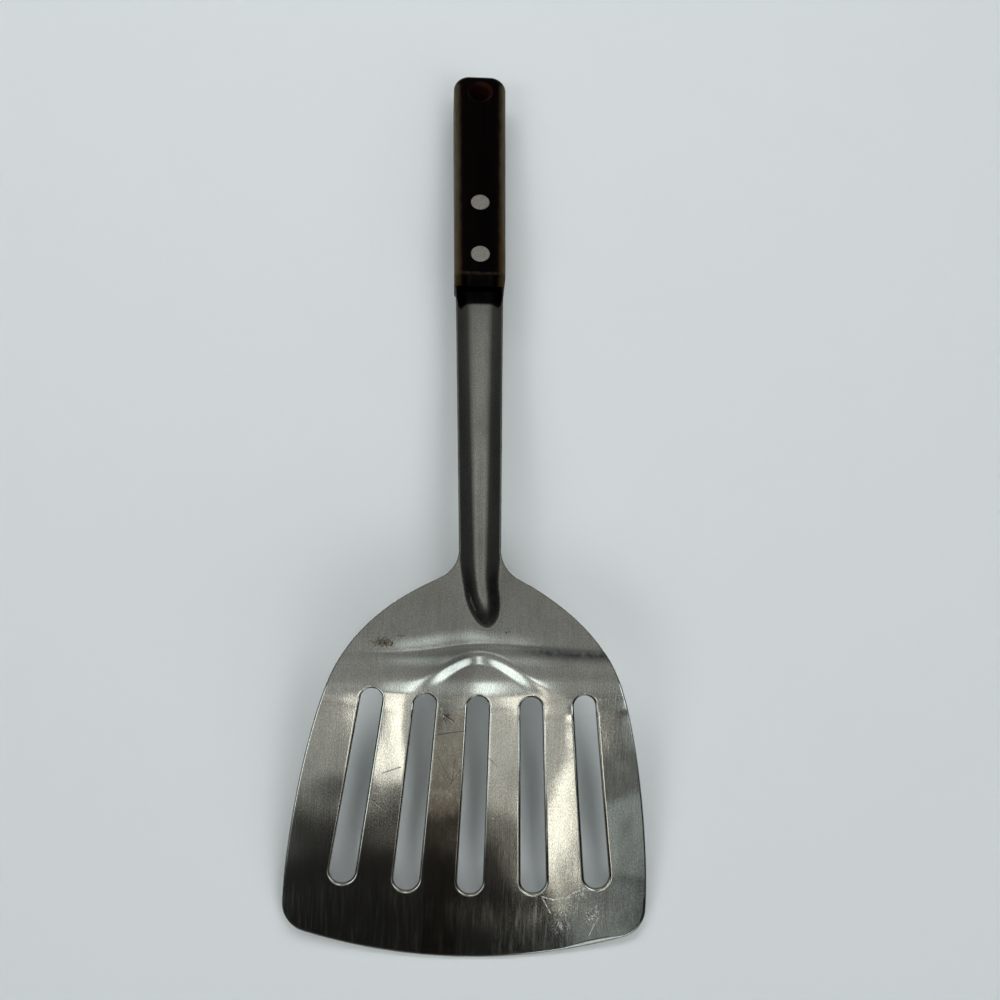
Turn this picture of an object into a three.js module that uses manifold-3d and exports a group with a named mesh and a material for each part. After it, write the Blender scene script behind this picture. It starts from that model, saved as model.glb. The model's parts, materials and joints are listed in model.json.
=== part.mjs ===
// Slotted spatula: one pressed steel sheet that is blade, shank and tang, a wooden handle sawn open
// for the tang, and two cutler's rivets of two halves each.
// Millimetres, +Z up. It lies face down, as on a table: on the middle of its front edge and on the
// rear end of its handle, with the bend in the air. The blade points to -Y and the handle to +Y.
// The origin is on the table, under the middle of the whole.

import * as THREE from 'three';
import Module from 'manifold-3d';
import { mergeVertices } from 'three/addons/utils/BufferGeometryUtils.js';

const { clamp, degToRad, lerp, smoothstep } = THREE.MathUtils;

// Sheet and fits
const SHEET = 1.2; // thickness of the steel
const GAP = 0.3; // clearance between pieces that fit together

// Blade, measured along the sheet from the heel line, the middle of the bend
const BLADE_LENGTH = 95.6; // heel line to the middle of the front edge
const BLADE_WIDTH = 120.4; // across the front corners
const HEEL_WIDTH = 93; // across the heel line
const HEEL_FLARE = degToRad(24.5); // the sides' angle to the middle line at the heel
const HEEL_REACH = 17; // how far the side holds that angle
const CORNER_REACH = 21; // how far the side runs straight into the corner
const CORNER_RADIUS = 10;
const FRONT_RADIUS = 185; // of the front edge
const BEND_ANGLE = degToRad(27);
const BEND_RADIUS = 32;
const BLADE_SKEW = degToRad(1.8); // the blade is turned this far out of line with the shank

// Slots, which spread towards the front edge
const SLOT_COUNT = 5;
const SLOT_REAR = 8; // heel line to the rear end of the middle slot
const SLOT_FRONT = 74; // heel line to its front end
const SLOT_WIDTH_REAR = 7;
const SLOT_WIDTH_FRONT = 8.4;
const SLOT_PITCH_REAR = 17.4;
const SLOT_PITCH_FRONT = 21;
const SLOT_END_RADIUS = 325; // the slots' ends lie on arcs
const SLOT_OFFSET = 1; // the row is punched this far off the blade's middle line

// Arched step at the heel, where the middle of the blade is pressed in
const ARCH_DEPTH = 1;
const ARCH_HALF_WIDTH = 26;
const ARCH_CROWN = -4.6; // heel line to its crown
const ARCH_RISE = 12.5; // its legs' distance in front of the crown
const ARCH_SPREAD = 16.2; // its legs' distance from its middle
const ARCH_OFFSET = -1; // the crown lies this far off the middle line
const ARCH_SKEW = degToRad(3.1); // it is pressed askew
const ARCH_STEP = 5.5; // length of the slope
const ARCH_FADE = 45; // length over which the hollow runs out to the front

// Shank and shoulders
const SHANK_LENGTH = 149.5; // heel line to the handle
const NECK_WIDTH = 14.5;
const NECK = 35.4; // heel line to the corner between shank and shoulder
const NECK_FILLET = 11.3;
const SHOULDER_ANGLE = degToRad(61); // to the middle line
const SHOULDER_STRAIGHT = 4.7; // straight stretch after the fillet

// Channel pressed into the shank, open on the upper side
const CHANNEL_DEPTH_REAR = 2; // at the handle
const CHANNEL_DEPTH_NECK = 2.9;
const CHANNEL_POWER_REAR = 3; // its section at the handle, with a flat floor
const CHANNEL_POWER_NECK = 2; // its section at the neck, a plain hollow
const CHANNEL_LIP = 0.3; // rounding of its lips, as a share of its depth
const CHANNEL_RUN_IN = 6; // length inside the handle over which it starts
const CHANNEL_WIDTH = 12.4; // where its rounded nose starts
const CHANNEL_NOSE = 13; // length of the nose
const CHANNEL_TIP = 14.6; // heel line to the tip of the nose
const CHANNEL_DRIFT = 2.2; // the tip lies this far off the middle

// Handle
const HANDLE_LENGTH = 99;
const HANDLE_WIDTH_FRONT = 19.3;
const HANDLE_WIDTH_REAR = 21.4;
const HANDLE_THICKNESS = 18;
const HANDLE_EDGE = 3; // rounding of its long edges
const HANDLE_CORNER = 6.5; // rounding of its rear corners, seen from above
const TANG_INSET = 0.5; // the tang's edges lie this far inside the handle's sides
const TANG_TAPER = 1; // the tang is this much narrower at its end, on each side

// Hang hole through the handle
const HOLE_DIAMETER = 8;
const HOLE_COUNTERSINK = 1.3;
const HOLE_INSET = 9.2; // its centre, from the handle's rear end

// Rivets
const RIVET_HEAD = 7.2; // diameter
const RIVET_HEAD_THICKNESS = 1.6;
const RIVET_TUBE = 5; // outer diameter of the socket's tube
const RIVET_PIN = 2.6; // diameter of the stud's pin
const RIVET_INSET = 9; // front rivet, from the handle's front face
const RIVET_SPACING = 24.3;
const TANG_MARGIN = 11; // tang behind the rear rivet

// Fineness of the mesh
const ARC_STEPS = 6; // in each arc of the sheet's outline
const BEND_STEPS = 8;
const SHANK_STEPS = 6;
const FADE_STEPS = 3;
const LEAST_STEP = 0.8; // between cross-sections of the sheet
const CHANNEL_COLUMNS = 4; // on each side of the middle line
const CHANNEL_SHARE = 0.6; // of the width, taken by these columns
const SIDE_COLUMNS = [0.1, 0.25, 0.42, 0.65, 1]; // shares of the width outside the channel
const ROUND_STEPS = 28; // around rivets and holes
const EDGE_STEPS = 5; // in the rounded edges of the handle
const GROOVE_STEPS = 16; // across the groove below the tang

// Derived sizes
const BEND_LENGTH = BEND_ANGLE * BEND_RADIUS;
const TANG_LENGTH = RIVET_INSET + RIVET_SPACING + TANG_MARGIN;
const TANG_END = SHANK_LENGTH + TANG_LENGTH;
const SHANK_WIDTH = HANDLE_WIDTH_FRONT - 2 * TANG_INSET;
const TANG_WIDTH = SHANK_WIDTH - 2 * TANG_TAPER;
const HANDLE_FRONT_Y = SHANK_LENGTH - BEND_LENGTH / 2; // the bend starts at y = 0
const HANDLE_REAR_Y = HANDLE_FRONT_Y + HANDLE_LENGTH;
const HALF_HANDLE = HANDLE_THICKNESS / 2;

const wasm = await Module();
wasm.setup();

// A closed three.js geometry as a solid to cut with or to be cut.
function solid(geometry) {
  const bare = new THREE.BufferGeometry();
  bare.setAttribute('position', geometry.getAttribute('position'));
  bare.setIndex(geometry.index);
  const merged = mergeVertices(bare);
  const corners = merged.index.array;
  const triVerts = [];
  for (let i = 0; i < corners.length; i += 3) {
    const [a, b, c] = corners.slice(i, i + 3);
    if (a !== b && b !== c && c !== a) triVerts.push(a, b, c);
  }
  return new wasm.Manifold(new wasm.Mesh({
    numProp: 3,
    vertProperties: merged.getAttribute('position').array,
    triVerts: new Uint32Array(triVerts),
  }));
}

// A finished solid as a named mesh.
function piece(name, shape, material) {
  const { vertProperties, triVerts } = shape.getMesh();
  const geometry = new THREE.BufferGeometry();
  geometry.setAttribute('position', new THREE.BufferAttribute(vertProperties, 3));
  geometry.setIndex(new THREE.BufferAttribute(triVerts, 1));
  geometry.computeVertexNormals();
  const mesh = new THREE.Mesh(geometry, material);
  mesh.name = name;
  return mesh;
}

// A body of revolution about an upright axis at (0, y), from its profile of [radius, height] points.
function turned(profile, y) {
  const points = profile.map(([radius, height]) => new THREE.Vector2(radius, height));
  const geometry = new THREE.LatheGeometry(points, ROUND_STEPS);
  geometry.rotateX(Math.PI / 2);
  geometry.translate(0, y, 0);
  return solid(geometry);
}

// Half the outline of the flat sheet: points along the sheet and their distance to the middle line.
function halfOutline() {
  const neck = NECK_WIDTH / 2;
  const rise = Math.tan(SHOULDER_ANGLE);
  const fillet = NECK_FILLET * Math.tan(SHOULDER_ANGLE / 2);
  const straight = fillet + SHOULDER_STRAIGHT;
  const corner = BLADE_WIDTH / 2 - CORNER_RADIUS;
  const frontCentre = BLADE_LENGTH - FRONT_RADIUS;
  const cornerAt = frontCentre + Math.sqrt((FRONT_RADIUS - CORNER_RADIUS) ** 2 - corner ** 2);
  const cornerTurn = Math.asin(corner / (FRONT_RADIUS - CORNER_RADIUS));
  const heel = HEEL_WIDTH / 2;
  const flare = Math.tan(HEEL_FLARE);
  const meet = (heel - neck - NECK * rise) / (rise - flare);

  const edge = new THREE.Path();
  edge.moveTo(-TANG_END, TANG_WIDTH / 2);
  edge.lineTo(-SHANK_LENGTH, SHANK_WIDTH / 2);
  edge.lineTo(-NECK - fillet, neck);
  edge.absarc(-NECK - fillet, neck + NECK_FILLET, NECK_FILLET, -Math.PI / 2, SHOULDER_ANGLE - Math.PI / 2);
  edge.lineTo(-NECK + straight * Math.cos(SHOULDER_ANGLE), neck + straight * Math.sin(SHOULDER_ANGLE));
  edge.quadraticCurveTo(meet, heel + meet * flare, 0, heel);
  edge.bezierCurveTo(
    HEEL_REACH, heel + HEEL_REACH * flare,
    cornerAt - CORNER_REACH, BLADE_WIDTH / 2,
    cornerAt, BLADE_WIDTH / 2,
  );
  edge.absarc(cornerAt, corner, CORNER_RADIUS, Math.PI / 2, cornerTurn, true);
  const lastTurn = cornerTurn / ARC_STEPS;
  edge.absarc(frontCentre, 0, FRONT_RADIUS, cornerTurn, lastTurn / 2, true);
  return edge.getPoints(ARC_STEPS);
}

const outline = halfOutline();

function halfWidth(along) {
  const next = outline.findIndex((point) => point.x >= along - 1e-6);
  if (next <= 0) return outline.at(next).y;
  const a = outline[next - 1];
  const b = outline[next];
  return lerp(a.y, b.y, clamp((along - a.x) / (b.x - a.x), 0, 1));
}

// Depth of the pressed channel below the rims, at a place under the press.
function channel(along, across) {
  const start = -SHANK_LENGTH - CHANNEL_RUN_IN;
  if (along <= start || along >= -CHANNEL_TIP) return 0;
  const noseStart = -CHANNEL_TIP - CHANNEL_NOSE;
  const neckStart = -NECK - NECK_FILLET / 2;
  const narrowing = smoothstep(along, neckStart, noseStart);
  let half = lerp(halfWidth(Math.min(along, neckStart)), CHANNEL_WIDTH / 2, narrowing);
  const runIn = smoothstep(along, start, -SHANK_LENGTH);
  const deepening = clamp((along + SHANK_LENGTH) / (SHANK_LENGTH + neckStart), 0, 1);
  let depth = runIn * lerp(CHANNEL_DEPTH_REAR, CHANNEL_DEPTH_NECK, deepening);
  if (along > noseStart) {
    const round = Math.sqrt(1 - ((along - noseStart) / CHANNEL_NOSE) ** 2);
    half *= round;
    depth *= round ** 2;
  }
  const middle = CHANNEL_DRIFT * smoothstep(along, neckStart, -CHANNEL_TIP);
  const place = Math.abs(across - middle) / half;
  if (place >= 1) return 0;
  const hollow = 1 - place ** lerp(CHANNEL_POWER_REAR, CHANNEL_POWER_NECK, deepening);
  return (depth * (1 + CHANNEL_LIP) * hollow ** 2) / (hollow + CHANNEL_LIP);
}

// Depth of the arched hollow at the heel, which runs out to the front.
function arch(along, across) {
  const place = across / ARCH_HALF_WIDTH;
  if (Math.abs(place) >= 1) return 0;
  const spread = ((across - ARCH_OFFSET) / ARCH_SPREAD) ** 2;
  const line = ARCH_CROWN + ARCH_RISE * (1 - Math.exp(-spread)) + across * Math.tan(ARCH_SKEW);
  const step = smoothstep(along, line - ARCH_STEP / 2, line + ARCH_STEP / 2);
  const fade = 1 - smoothstep(along, line + ARCH_STEP, line + ARCH_STEP + ARCH_FADE);
  return ARCH_DEPTH * step * fade * Math.cos((place * Math.PI) / 2) ** 2;
}

// Where a place on the flat sheet lies under the press, once the blade is turned at the neck.
function underPress(place, distance) {
  const start = -NECK - NECK_FILLET;
  const stretch = 2 * NECK_FILLET;
  const share = clamp((place - start) / stretch, 0, 1);
  const ahead = Math.max(place - start - stretch, 0);
  const turn = BLADE_SKEW * share;
  const shift = (BLADE_SKEW * stretch * share ** 2) / 2 + ahead * Math.sin(BLADE_SKEW);
  return {
    along: place - ahead * (1 - Math.cos(BLADE_SKEW)) + distance * Math.sin(turn),
    across: distance * Math.cos(turn) - shift,
  };
}

// A place on the flat sheet as a point of the bent and pressed middle surface.
// The shank lies level here, along +Y from the start of the bend.
function sheetPoint(place, distance) {
  const { along, across } = underPress(place, distance);
  const straight = Math.min(along + BEND_LENGTH / 2, 0);
  const angle = clamp(along + BEND_LENGTH / 2, 0, BEND_LENGTH) / BEND_RADIUS;
  const ahead = Math.max(along - BEND_LENGTH / 2, 0);
  const depth = channel(along, across) + arch(along, across);
  const sin = Math.sin(angle);
  const cos = Math.cos(angle);
  return new THREE.Vector3(
    across,
    -straight - BEND_RADIUS * sin - ahead * cos + depth * sin,
    BEND_RADIUS * (cos - 1) - ahead * sin - depth * cos,
  );
}

function sheetNormal(place, distance) {
  const step = SHEET / 6;
  const forward = sheetPoint(place + step, distance).sub(sheetPoint(place - step, distance));
  const sideways = sheetPoint(place, distance + step).sub(sheetPoint(place, distance - step));
  return forward.cross(sideways).normalize();
}

// Distances along the sheet at which a cross-section is set: the outline's own points, and more of
// them where the sheet is pressed or bent, no closer than a least distance.
function sections() {
  const places = outline.map((point) => point.x);
  const add = (place) => {
    if (places.every((other) => Math.abs(other - place) > LEAST_STEP)) places.push(place);
  };
  const fill = (from, to, count) => {
    for (let i = 0; i <= count; i += 1) add(lerp(from, to, i / count));
  };
  const noseStart = -CHANNEL_TIP - CHANNEL_NOSE;
  const archEnd = ARCH_CROWN + ARCH_RISE + ARCH_STEP;
  for (let i = 0; i <= ARC_STEPS; i += 1) {
    add(noseStart + CHANNEL_NOSE * Math.sin((i / ARC_STEPS) * (Math.PI / 2)));
  }
  fill(-BEND_LENGTH / 2, BEND_LENGTH / 2, BEND_STEPS);
  fill(BEND_LENGTH / 2, archEnd, FADE_STEPS);
  fill(archEnd, ARCH_CROWN + ARCH_STEP + ARCH_FADE, FADE_STEPS);
  fill(-SHANK_LENGTH - CHANNEL_RUN_IN, -SHANK_LENGTH, SHANK_STEPS);
  fill(-SHANK_LENGTH, noseStart, SHANK_STEPS);
  return places.sort((first, second) => first - second);
}

// Places across one cross-section, closer in the channel than in the blade's sides.
function columns(half) {
  const inner = CHANNEL_SHARE * Math.min(half, CHANNEL_WIDTH);
  const right = [];
  for (let i = 1; i <= CHANNEL_COLUMNS; i += 1) right.push((inner * i) / CHANNEL_COLUMNS);
  for (const share of SIDE_COLUMNS) right.push(lerp(inner, half, share));
  return [...right.map((place) => -place).reverse(), 0, ...right];
}

// The bent sheet with its thickness, before it is punched.
function bentSheet() {
  const rows = sections();
  const positions = [];
  let width = 0;
  for (const place of rows) {
    const distances = columns(halfWidth(place));
    width = distances.length;
    for (const side of [1, -1]) {
      for (const distance of distances) {
        const point = sheetPoint(place, distance);
        point.addScaledVector(sheetNormal(place, distance), (side * SHEET) / 2);
        positions.push(point.x, point.y, point.z);
      }
    }
  }
  const index = [];
  const quad = (a, b, c, d) => index.push(a, b, c, a, c, d);
  const upper = (row, column) => row * 2 * width + column;
  const lower = (row, column) => upper(row, column) + width;
  const last = rows.length - 1;
  for (let row = 0; row < last; row += 1) {
    for (let column = 0; column < width - 1; column += 1) {
      quad(upper(row, column), upper(row + 1, column), upper(row + 1, column + 1), upper(row, column + 1));
      quad(lower(row, column), lower(row, column + 1), lower(row + 1, column + 1), lower(row + 1, column));
    }
    quad(upper(row, 0), lower(row, 0), lower(row + 1, 0), upper(row + 1, 0));
    const edge = width - 1;
    quad(upper(row, edge), upper(row + 1, edge), lower(row + 1, edge), lower(row, edge));
  }
  for (let column = 0; column < width - 1; column += 1) {
    quad(upper(0, column), upper(0, column + 1), lower(0, column + 1), lower(0, column));
    quad(upper(last, column), lower(last, column), lower(last, column + 1), upper(last, column + 1));
  }
  const geometry = new THREE.BufferGeometry();
  geometry.setAttribute('position', new THREE.Float32BufferAttribute(positions, 3));
  geometry.setIndex(index);
  return solid(geometry);
}

// The two end circles of one slot as they lie under the press, counted from the middle slot.
function slotEnds(number) {
  const end = (pitch, diameter, tip, inward) => {
    const offset = number * pitch;
    const sag = SLOT_END_RADIUS - Math.sqrt(SLOT_END_RADIUS ** 2 - offset ** 2);
    const place = tip - sag + (inward * diameter) / 2;
    return { ...underPress(place, offset + SLOT_OFFSET), radius: diameter / 2 };
  };
  return [
    end(SLOT_PITCH_REAR, SLOT_WIDTH_REAR, SLOT_REAR, 1),
    end(SLOT_PITCH_FRONT, SLOT_WIDTH_FRONT, SLOT_FRONT, -1),
  ];
}

// A punch for one slot: two end circles and the lines that touch both, square to the blade.
function slotPunch(number) {
  const [rear, front] = slotEnds(number);
  const run = front.along - rear.along;
  const shift = front.across - rear.across;
  const direction = Math.atan2(run, shift);
  const touch = Math.PI / 2 + Math.asin((front.radius - rear.radius) / Math.hypot(run, shift));
  const shape = new THREE.Shape();
  shape.absarc(front.across, front.along, front.radius, direction - touch, direction + touch);
  shape.absarc(rear.across, rear.along, rear.radius, direction + touch, direction - touch + 2 * Math.PI);
  const reach = 2 * (ARCH_DEPTH + SHEET);
  const geometry = new THREE.ExtrudeGeometry(shape, {
    depth: 2 * reach,
    bevelEnabled: false,
    curveSegments: BEND_STEPS,
  });
  geometry.translate(0, -BEND_LENGTH / 2, -reach);
  const forward = new THREE.Vector3(0, -Math.cos(BEND_ANGLE), -Math.sin(BEND_ANGLE));
  const sideways = new THREE.Vector3(1, 0, 0);
  const place = new THREE.Matrix4();
  place.makeBasis(sideways, forward, sideways.clone().cross(forward));
  place.setPosition(0, -BEND_RADIUS * Math.sin(BEND_ANGLE), BEND_RADIUS * (Math.cos(BEND_ANGLE) - 1));
  geometry.applyMatrix4(place);
  return solid(geometry);
}

const rivetPlaces = {
  front: HANDLE_FRONT_Y + RIVET_INSET,
  rear: HANDLE_FRONT_Y + RIVET_INSET + RIVET_SPACING,
};

// Blade, shank and tang: the bent sheet with its slots and the rivet holes of the tang.
function bladeAndShank(material) {
  let sheet = bentSheet();
  const side = (SLOT_COUNT - 1) / 2;
  for (let number = -side; number <= side; number += 1) sheet = sheet.subtract(slotPunch(number));
  const hole = RIVET_TUBE / 2 + GAP;
  for (const y of Object.values(rivetPlaces)) {
    sheet = sheet.subtract(turned([[0, -SHEET], [hole, -SHEET], [hole, SHEET], [0, SHEET]], y));
  }
  return piece('blade_and_shank', sheet, material);
}

// Handle blank: the outline from above, with its long and rear edges rounded. It starts in front of
// the front face, so that the face cut there is square to the full section.
function handleBlank() {
  const extra = 2 * HANDLE_EDGE;
  const slope = (HANDLE_WIDTH_REAR - HANDLE_WIDTH_FRONT) / (2 * (HANDLE_LENGTH - HANDLE_CORNER));
  const front = HANDLE_WIDTH_FRONT / 2 - slope * extra;
  const rear = HANDLE_WIDTH_REAR / 2;
  const cornerY = HANDLE_REAR_Y - HANDLE_CORNER;
  const shape = new THREE.Shape();
  shape.moveTo(-front, HANDLE_FRONT_Y - extra);
  shape.lineTo(front, HANDLE_FRONT_Y - extra);
  shape.lineTo(rear, cornerY);
  shape.absarc(rear - HANDLE_CORNER, cornerY, HANDLE_CORNER, 0, Math.PI / 2);
  shape.absarc(HANDLE_CORNER - rear, cornerY, HANDLE_CORNER, Math.PI / 2, Math.PI);
  shape.closePath();
  const geometry = new THREE.ExtrudeGeometry(shape, {
    depth: HANDLE_THICKNESS - 2 * HANDLE_EDGE,
    bevelSize: HANDLE_EDGE,
    bevelOffset: -HANDLE_EDGE,
    bevelThickness: HANDLE_EDGE,
    bevelSegments: EDGE_STEPS,
    curveSegments: ARC_STEPS,
  });
  geometry.translate(0, 0, HANDLE_EDGE - HALF_HANDLE);
  const cut = new THREE.BoxGeometry(2 * HANDLE_WIDTH_REAR, 2 * extra, 2 * HANDLE_THICKNESS);
  cut.translate(0, HANDLE_FRONT_Y - extra, 0);
  return solid(geometry).subtract(solid(cut));
}

// Groove in the wood below the tang, which the channel's underside needs at the handle's front.
function channelGroove() {
  const half = SHANK_WIDTH / 2;
  const clear = SHEET / 2 + GAP;
  const step = SHEET / 6;
  const shape = new THREE.Shape();
  shape.moveTo(-half, 0);
  for (let i = 0; i <= GROOVE_STEPS; i += 1) {
    const across = lerp(-half, half, i / GROOVE_STEPS);
    const left = channel(-SHANK_LENGTH, across - step);
    const right = channel(-SHANK_LENGTH, across + step);
    const slope = (right - left) / (2 * step);
    const below = clear / Math.hypot(1, slope);
    shape.lineTo(across - slope * below, -channel(-SHANK_LENGTH, across) - below);
  }
  shape.lineTo(half, 0);
  shape.closePath();
  const reach = CHANNEL_RUN_IN + GAP;
  const geometry = new THREE.ExtrudeGeometry(shape, { depth: 2 * reach, bevelEnabled: false });
  geometry.rotateX(Math.PI / 2);
  geometry.translate(0, HANDLE_FRONT_Y + reach, 0);
  return solid(geometry);
}

// Handle: the blank with the saw cut for the tang and the groove below it, the rivets' stepped holes
// and the hang hole.
function handle(material) {
  const depth = TANG_LENGTH + GAP;
  const saw = new THREE.BoxGeometry(2 * HANDLE_WIDTH_REAR, 2 * depth, SHEET + 2 * GAP);
  saw.translate(0, HANDLE_FRONT_Y, 0);
  let wood = handleBlank().subtract(solid(saw)).subtract(channelGroove());
  const tube = RIVET_TUBE / 2 + GAP;
  const head = RIVET_HEAD / 2 + GAP;
  const seat = HALF_HANDLE - RIVET_HEAD_THICKNESS - GAP;
  const beyond = HALF_HANDLE + HOLE_COUNTERSINK;
  for (const y of Object.values(rivetPlaces)) {
    wood = wood.subtract(turned([
      [0, -beyond], [head, -beyond], [head, -seat], [tube, -seat],
      [tube, seat], [head, seat], [head, beyond], [0, beyond],
    ], y));
  }
  const hole = HOLE_DIAMETER / 2;
  const sunk = HALF_HANDLE - HOLE_COUNTERSINK;
  const mouth = hole + beyond - sunk;
  wood = wood.subtract(turned([
    [0, -beyond], [mouth, -beyond], [hole, -sunk], [hole, sunk], [mouth, beyond], [0, beyond],
  ], HANDLE_REAR_Y - HOLE_INSET));
  return piece('handle', wood, material);
}

// The rivet half that shows on the upper side: a head with a tube.
function rivetSocket(name, y, material) {
  const head = RIVET_HEAD / 2;
  const tube = RIVET_TUBE / 2;
  const bore = RIVET_PIN / 2 + GAP;
  const under = HALF_HANDLE - RIVET_HEAD_THICKNESS;
  return piece(name, turned([
    [0, under], [bore, under], [bore, GAP - under], [tube, GAP - under],
    [tube, under], [head, under], [head, HALF_HANDLE], [0, HALF_HANDLE],
  ], y), material);
}

// The rivet half on the lower side: a head with a pin that is driven into the tube.
function rivetStud(name, y, material) {
  const head = RIVET_HEAD / 2;
  const pin = RIVET_PIN / 2;
  const under = HALF_HANDLE - RIVET_HEAD_THICKNESS;
  return piece(name, turned([
    [0, -HALF_HANDLE], [head, -HALF_HANDLE], [head, -under], [pin, -under],
    [pin, under - GAP], [0, under - GAP],
  ], y), material);
}

// Slope of the shank at which the front edge and the handle's rear end both touch the table.
function restingSlope() {
  const place = BLADE_LENGTH - FRONT_RADIUS * (1 - Math.cos(BLADE_SKEW));
  const distance = FRONT_RADIUS * Math.sin(BLADE_SKEW);
  const edge = sheetPoint(place, distance);
  edge.addScaledVector(sheetNormal(place, distance), -SHEET / 2);
  const roundY = HANDLE_REAR_Y - HANDLE_EDGE;
  const roundZ = HANDLE_EDGE - HALF_HANDLE;
  const reach = Math.hypot(roundY - edge.y, roundZ - edge.z);
  return Math.atan2(roundZ - edge.z, roundY - edge.y) - Math.asin(HANDLE_EDGE / reach);
}

const steel = new THREE.MeshStandardMaterial({ color: 0x8c8c85, metalness: 1, roughness: 0.35 });
const wood = new THREE.MeshStandardMaterial({ color: 0x1d100b, metalness: 0, roughness: 0.45 });

const lying = new THREE.Group();
lying.add(bladeAndShank(steel), handle(wood));
for (const [place, y] of Object.entries(rivetPlaces)) {
  const rivet = new THREE.MeshStandardMaterial({ color: 0xb4b2aa, metalness: 1, roughness: 0.4 });
  lying.add(rivetSocket(`${place}_rivet_socket`, y, rivet));
  lying.add(rivetStud(`${place}_rivet_stud`, y, rivet.clone()));
}
lying.rotation.x = -restingSlope();

// Set down on the table, with the origin under the middle.
const spatula = new THREE.Group();
spatula.add(lying);
const box = new THREE.Box3().setFromObject(spatula, true);
const middle = box.getCenter(new THREE.Vector3());
lying.position.set(-middle.x, -middle.y, -box.min.z);

export default spatula;
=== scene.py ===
"""Looks of a slotted spatula: a worn pressed steel sheet, a dark wooden handle and flush rivets.

It lies face down on a pale table, on the middle of its front edge and on the rear end of its handle.
Everything is in metres, in the frame of the CAD model.
"""

import json
from math import asin, atan2, cos, hypot, pi, radians, sin, sqrt, tan

import bpy
import numpy as np
from bpy.props import FloatProperty, FloatVectorProperty, IntProperty, PointerProperty
from mathutils import Euler, Matrix, Vector
from mathutils.geometry import delaunay_2d_cdt


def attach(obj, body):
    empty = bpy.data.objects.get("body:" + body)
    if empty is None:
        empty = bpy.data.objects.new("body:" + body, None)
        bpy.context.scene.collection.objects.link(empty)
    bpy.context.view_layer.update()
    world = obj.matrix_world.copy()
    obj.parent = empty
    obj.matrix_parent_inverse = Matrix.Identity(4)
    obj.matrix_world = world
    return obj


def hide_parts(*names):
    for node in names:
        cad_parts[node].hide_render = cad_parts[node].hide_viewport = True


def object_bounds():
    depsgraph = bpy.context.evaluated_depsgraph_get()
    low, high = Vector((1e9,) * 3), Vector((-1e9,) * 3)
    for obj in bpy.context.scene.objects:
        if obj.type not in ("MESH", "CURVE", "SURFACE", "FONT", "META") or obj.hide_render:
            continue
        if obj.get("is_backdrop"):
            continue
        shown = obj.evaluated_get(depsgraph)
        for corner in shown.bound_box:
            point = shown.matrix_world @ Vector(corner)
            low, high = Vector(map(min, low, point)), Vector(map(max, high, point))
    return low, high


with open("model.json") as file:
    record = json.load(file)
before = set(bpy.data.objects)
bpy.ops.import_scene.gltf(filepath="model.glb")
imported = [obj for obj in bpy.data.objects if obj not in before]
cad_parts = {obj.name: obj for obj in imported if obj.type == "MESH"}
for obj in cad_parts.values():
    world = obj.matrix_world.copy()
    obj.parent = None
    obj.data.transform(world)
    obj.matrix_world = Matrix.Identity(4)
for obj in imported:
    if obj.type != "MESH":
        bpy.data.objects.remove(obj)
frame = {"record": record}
cad_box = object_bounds()

bl_info = {
    "name": "Slotted Spatula",
    "version": (1, 0, 0),
    "blender": (4, 5, 0),
    "location": "3D View > Sidebar > Spatula",
    "description": "Dresses a slotted spatula in worn steel, dark wood and flush rivets",
    "category": "Add Mesh",
}

MM = 0.001
BODY = "root"
SHEET_NODE = "blade_and_shank"
HANDLE_NODE = "handle"
RIVET_PLACES = ("front", "rear")
HANDLE_MOUNT = "handle_upper_face"
MOUNT_SETBACK = 60 * MM  # the mount's point, behind the handle's front face


def length(name, description, millimetres):
    """A size, given in millimetres and kept in metres."""
    return FloatProperty(
        name=name,
        description=description,
        default=millimetres * MM,
        precision=5,
        subtype="DISTANCE",
        unit="LENGTH",
    )


def angle(name, description, degrees):
    """An angle, given in degrees and kept in radians."""
    return FloatProperty(
        name=name,
        description=description,
        default=radians(degrees),
        subtype="ANGLE",
        unit="ROTATION",
    )


def share(name, description, value):
    """A number from 0 to 1."""
    return FloatProperty(
        name=name, description=description, default=value, min=0, max=1, subtype="FACTOR"
    )


def colour(name, description, *rgb):
    """A linear colour."""
    return FloatVectorProperty(
        name=name, description=description, default=rgb, size=3, min=0, max=1, subtype="COLOR"
    )


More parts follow.
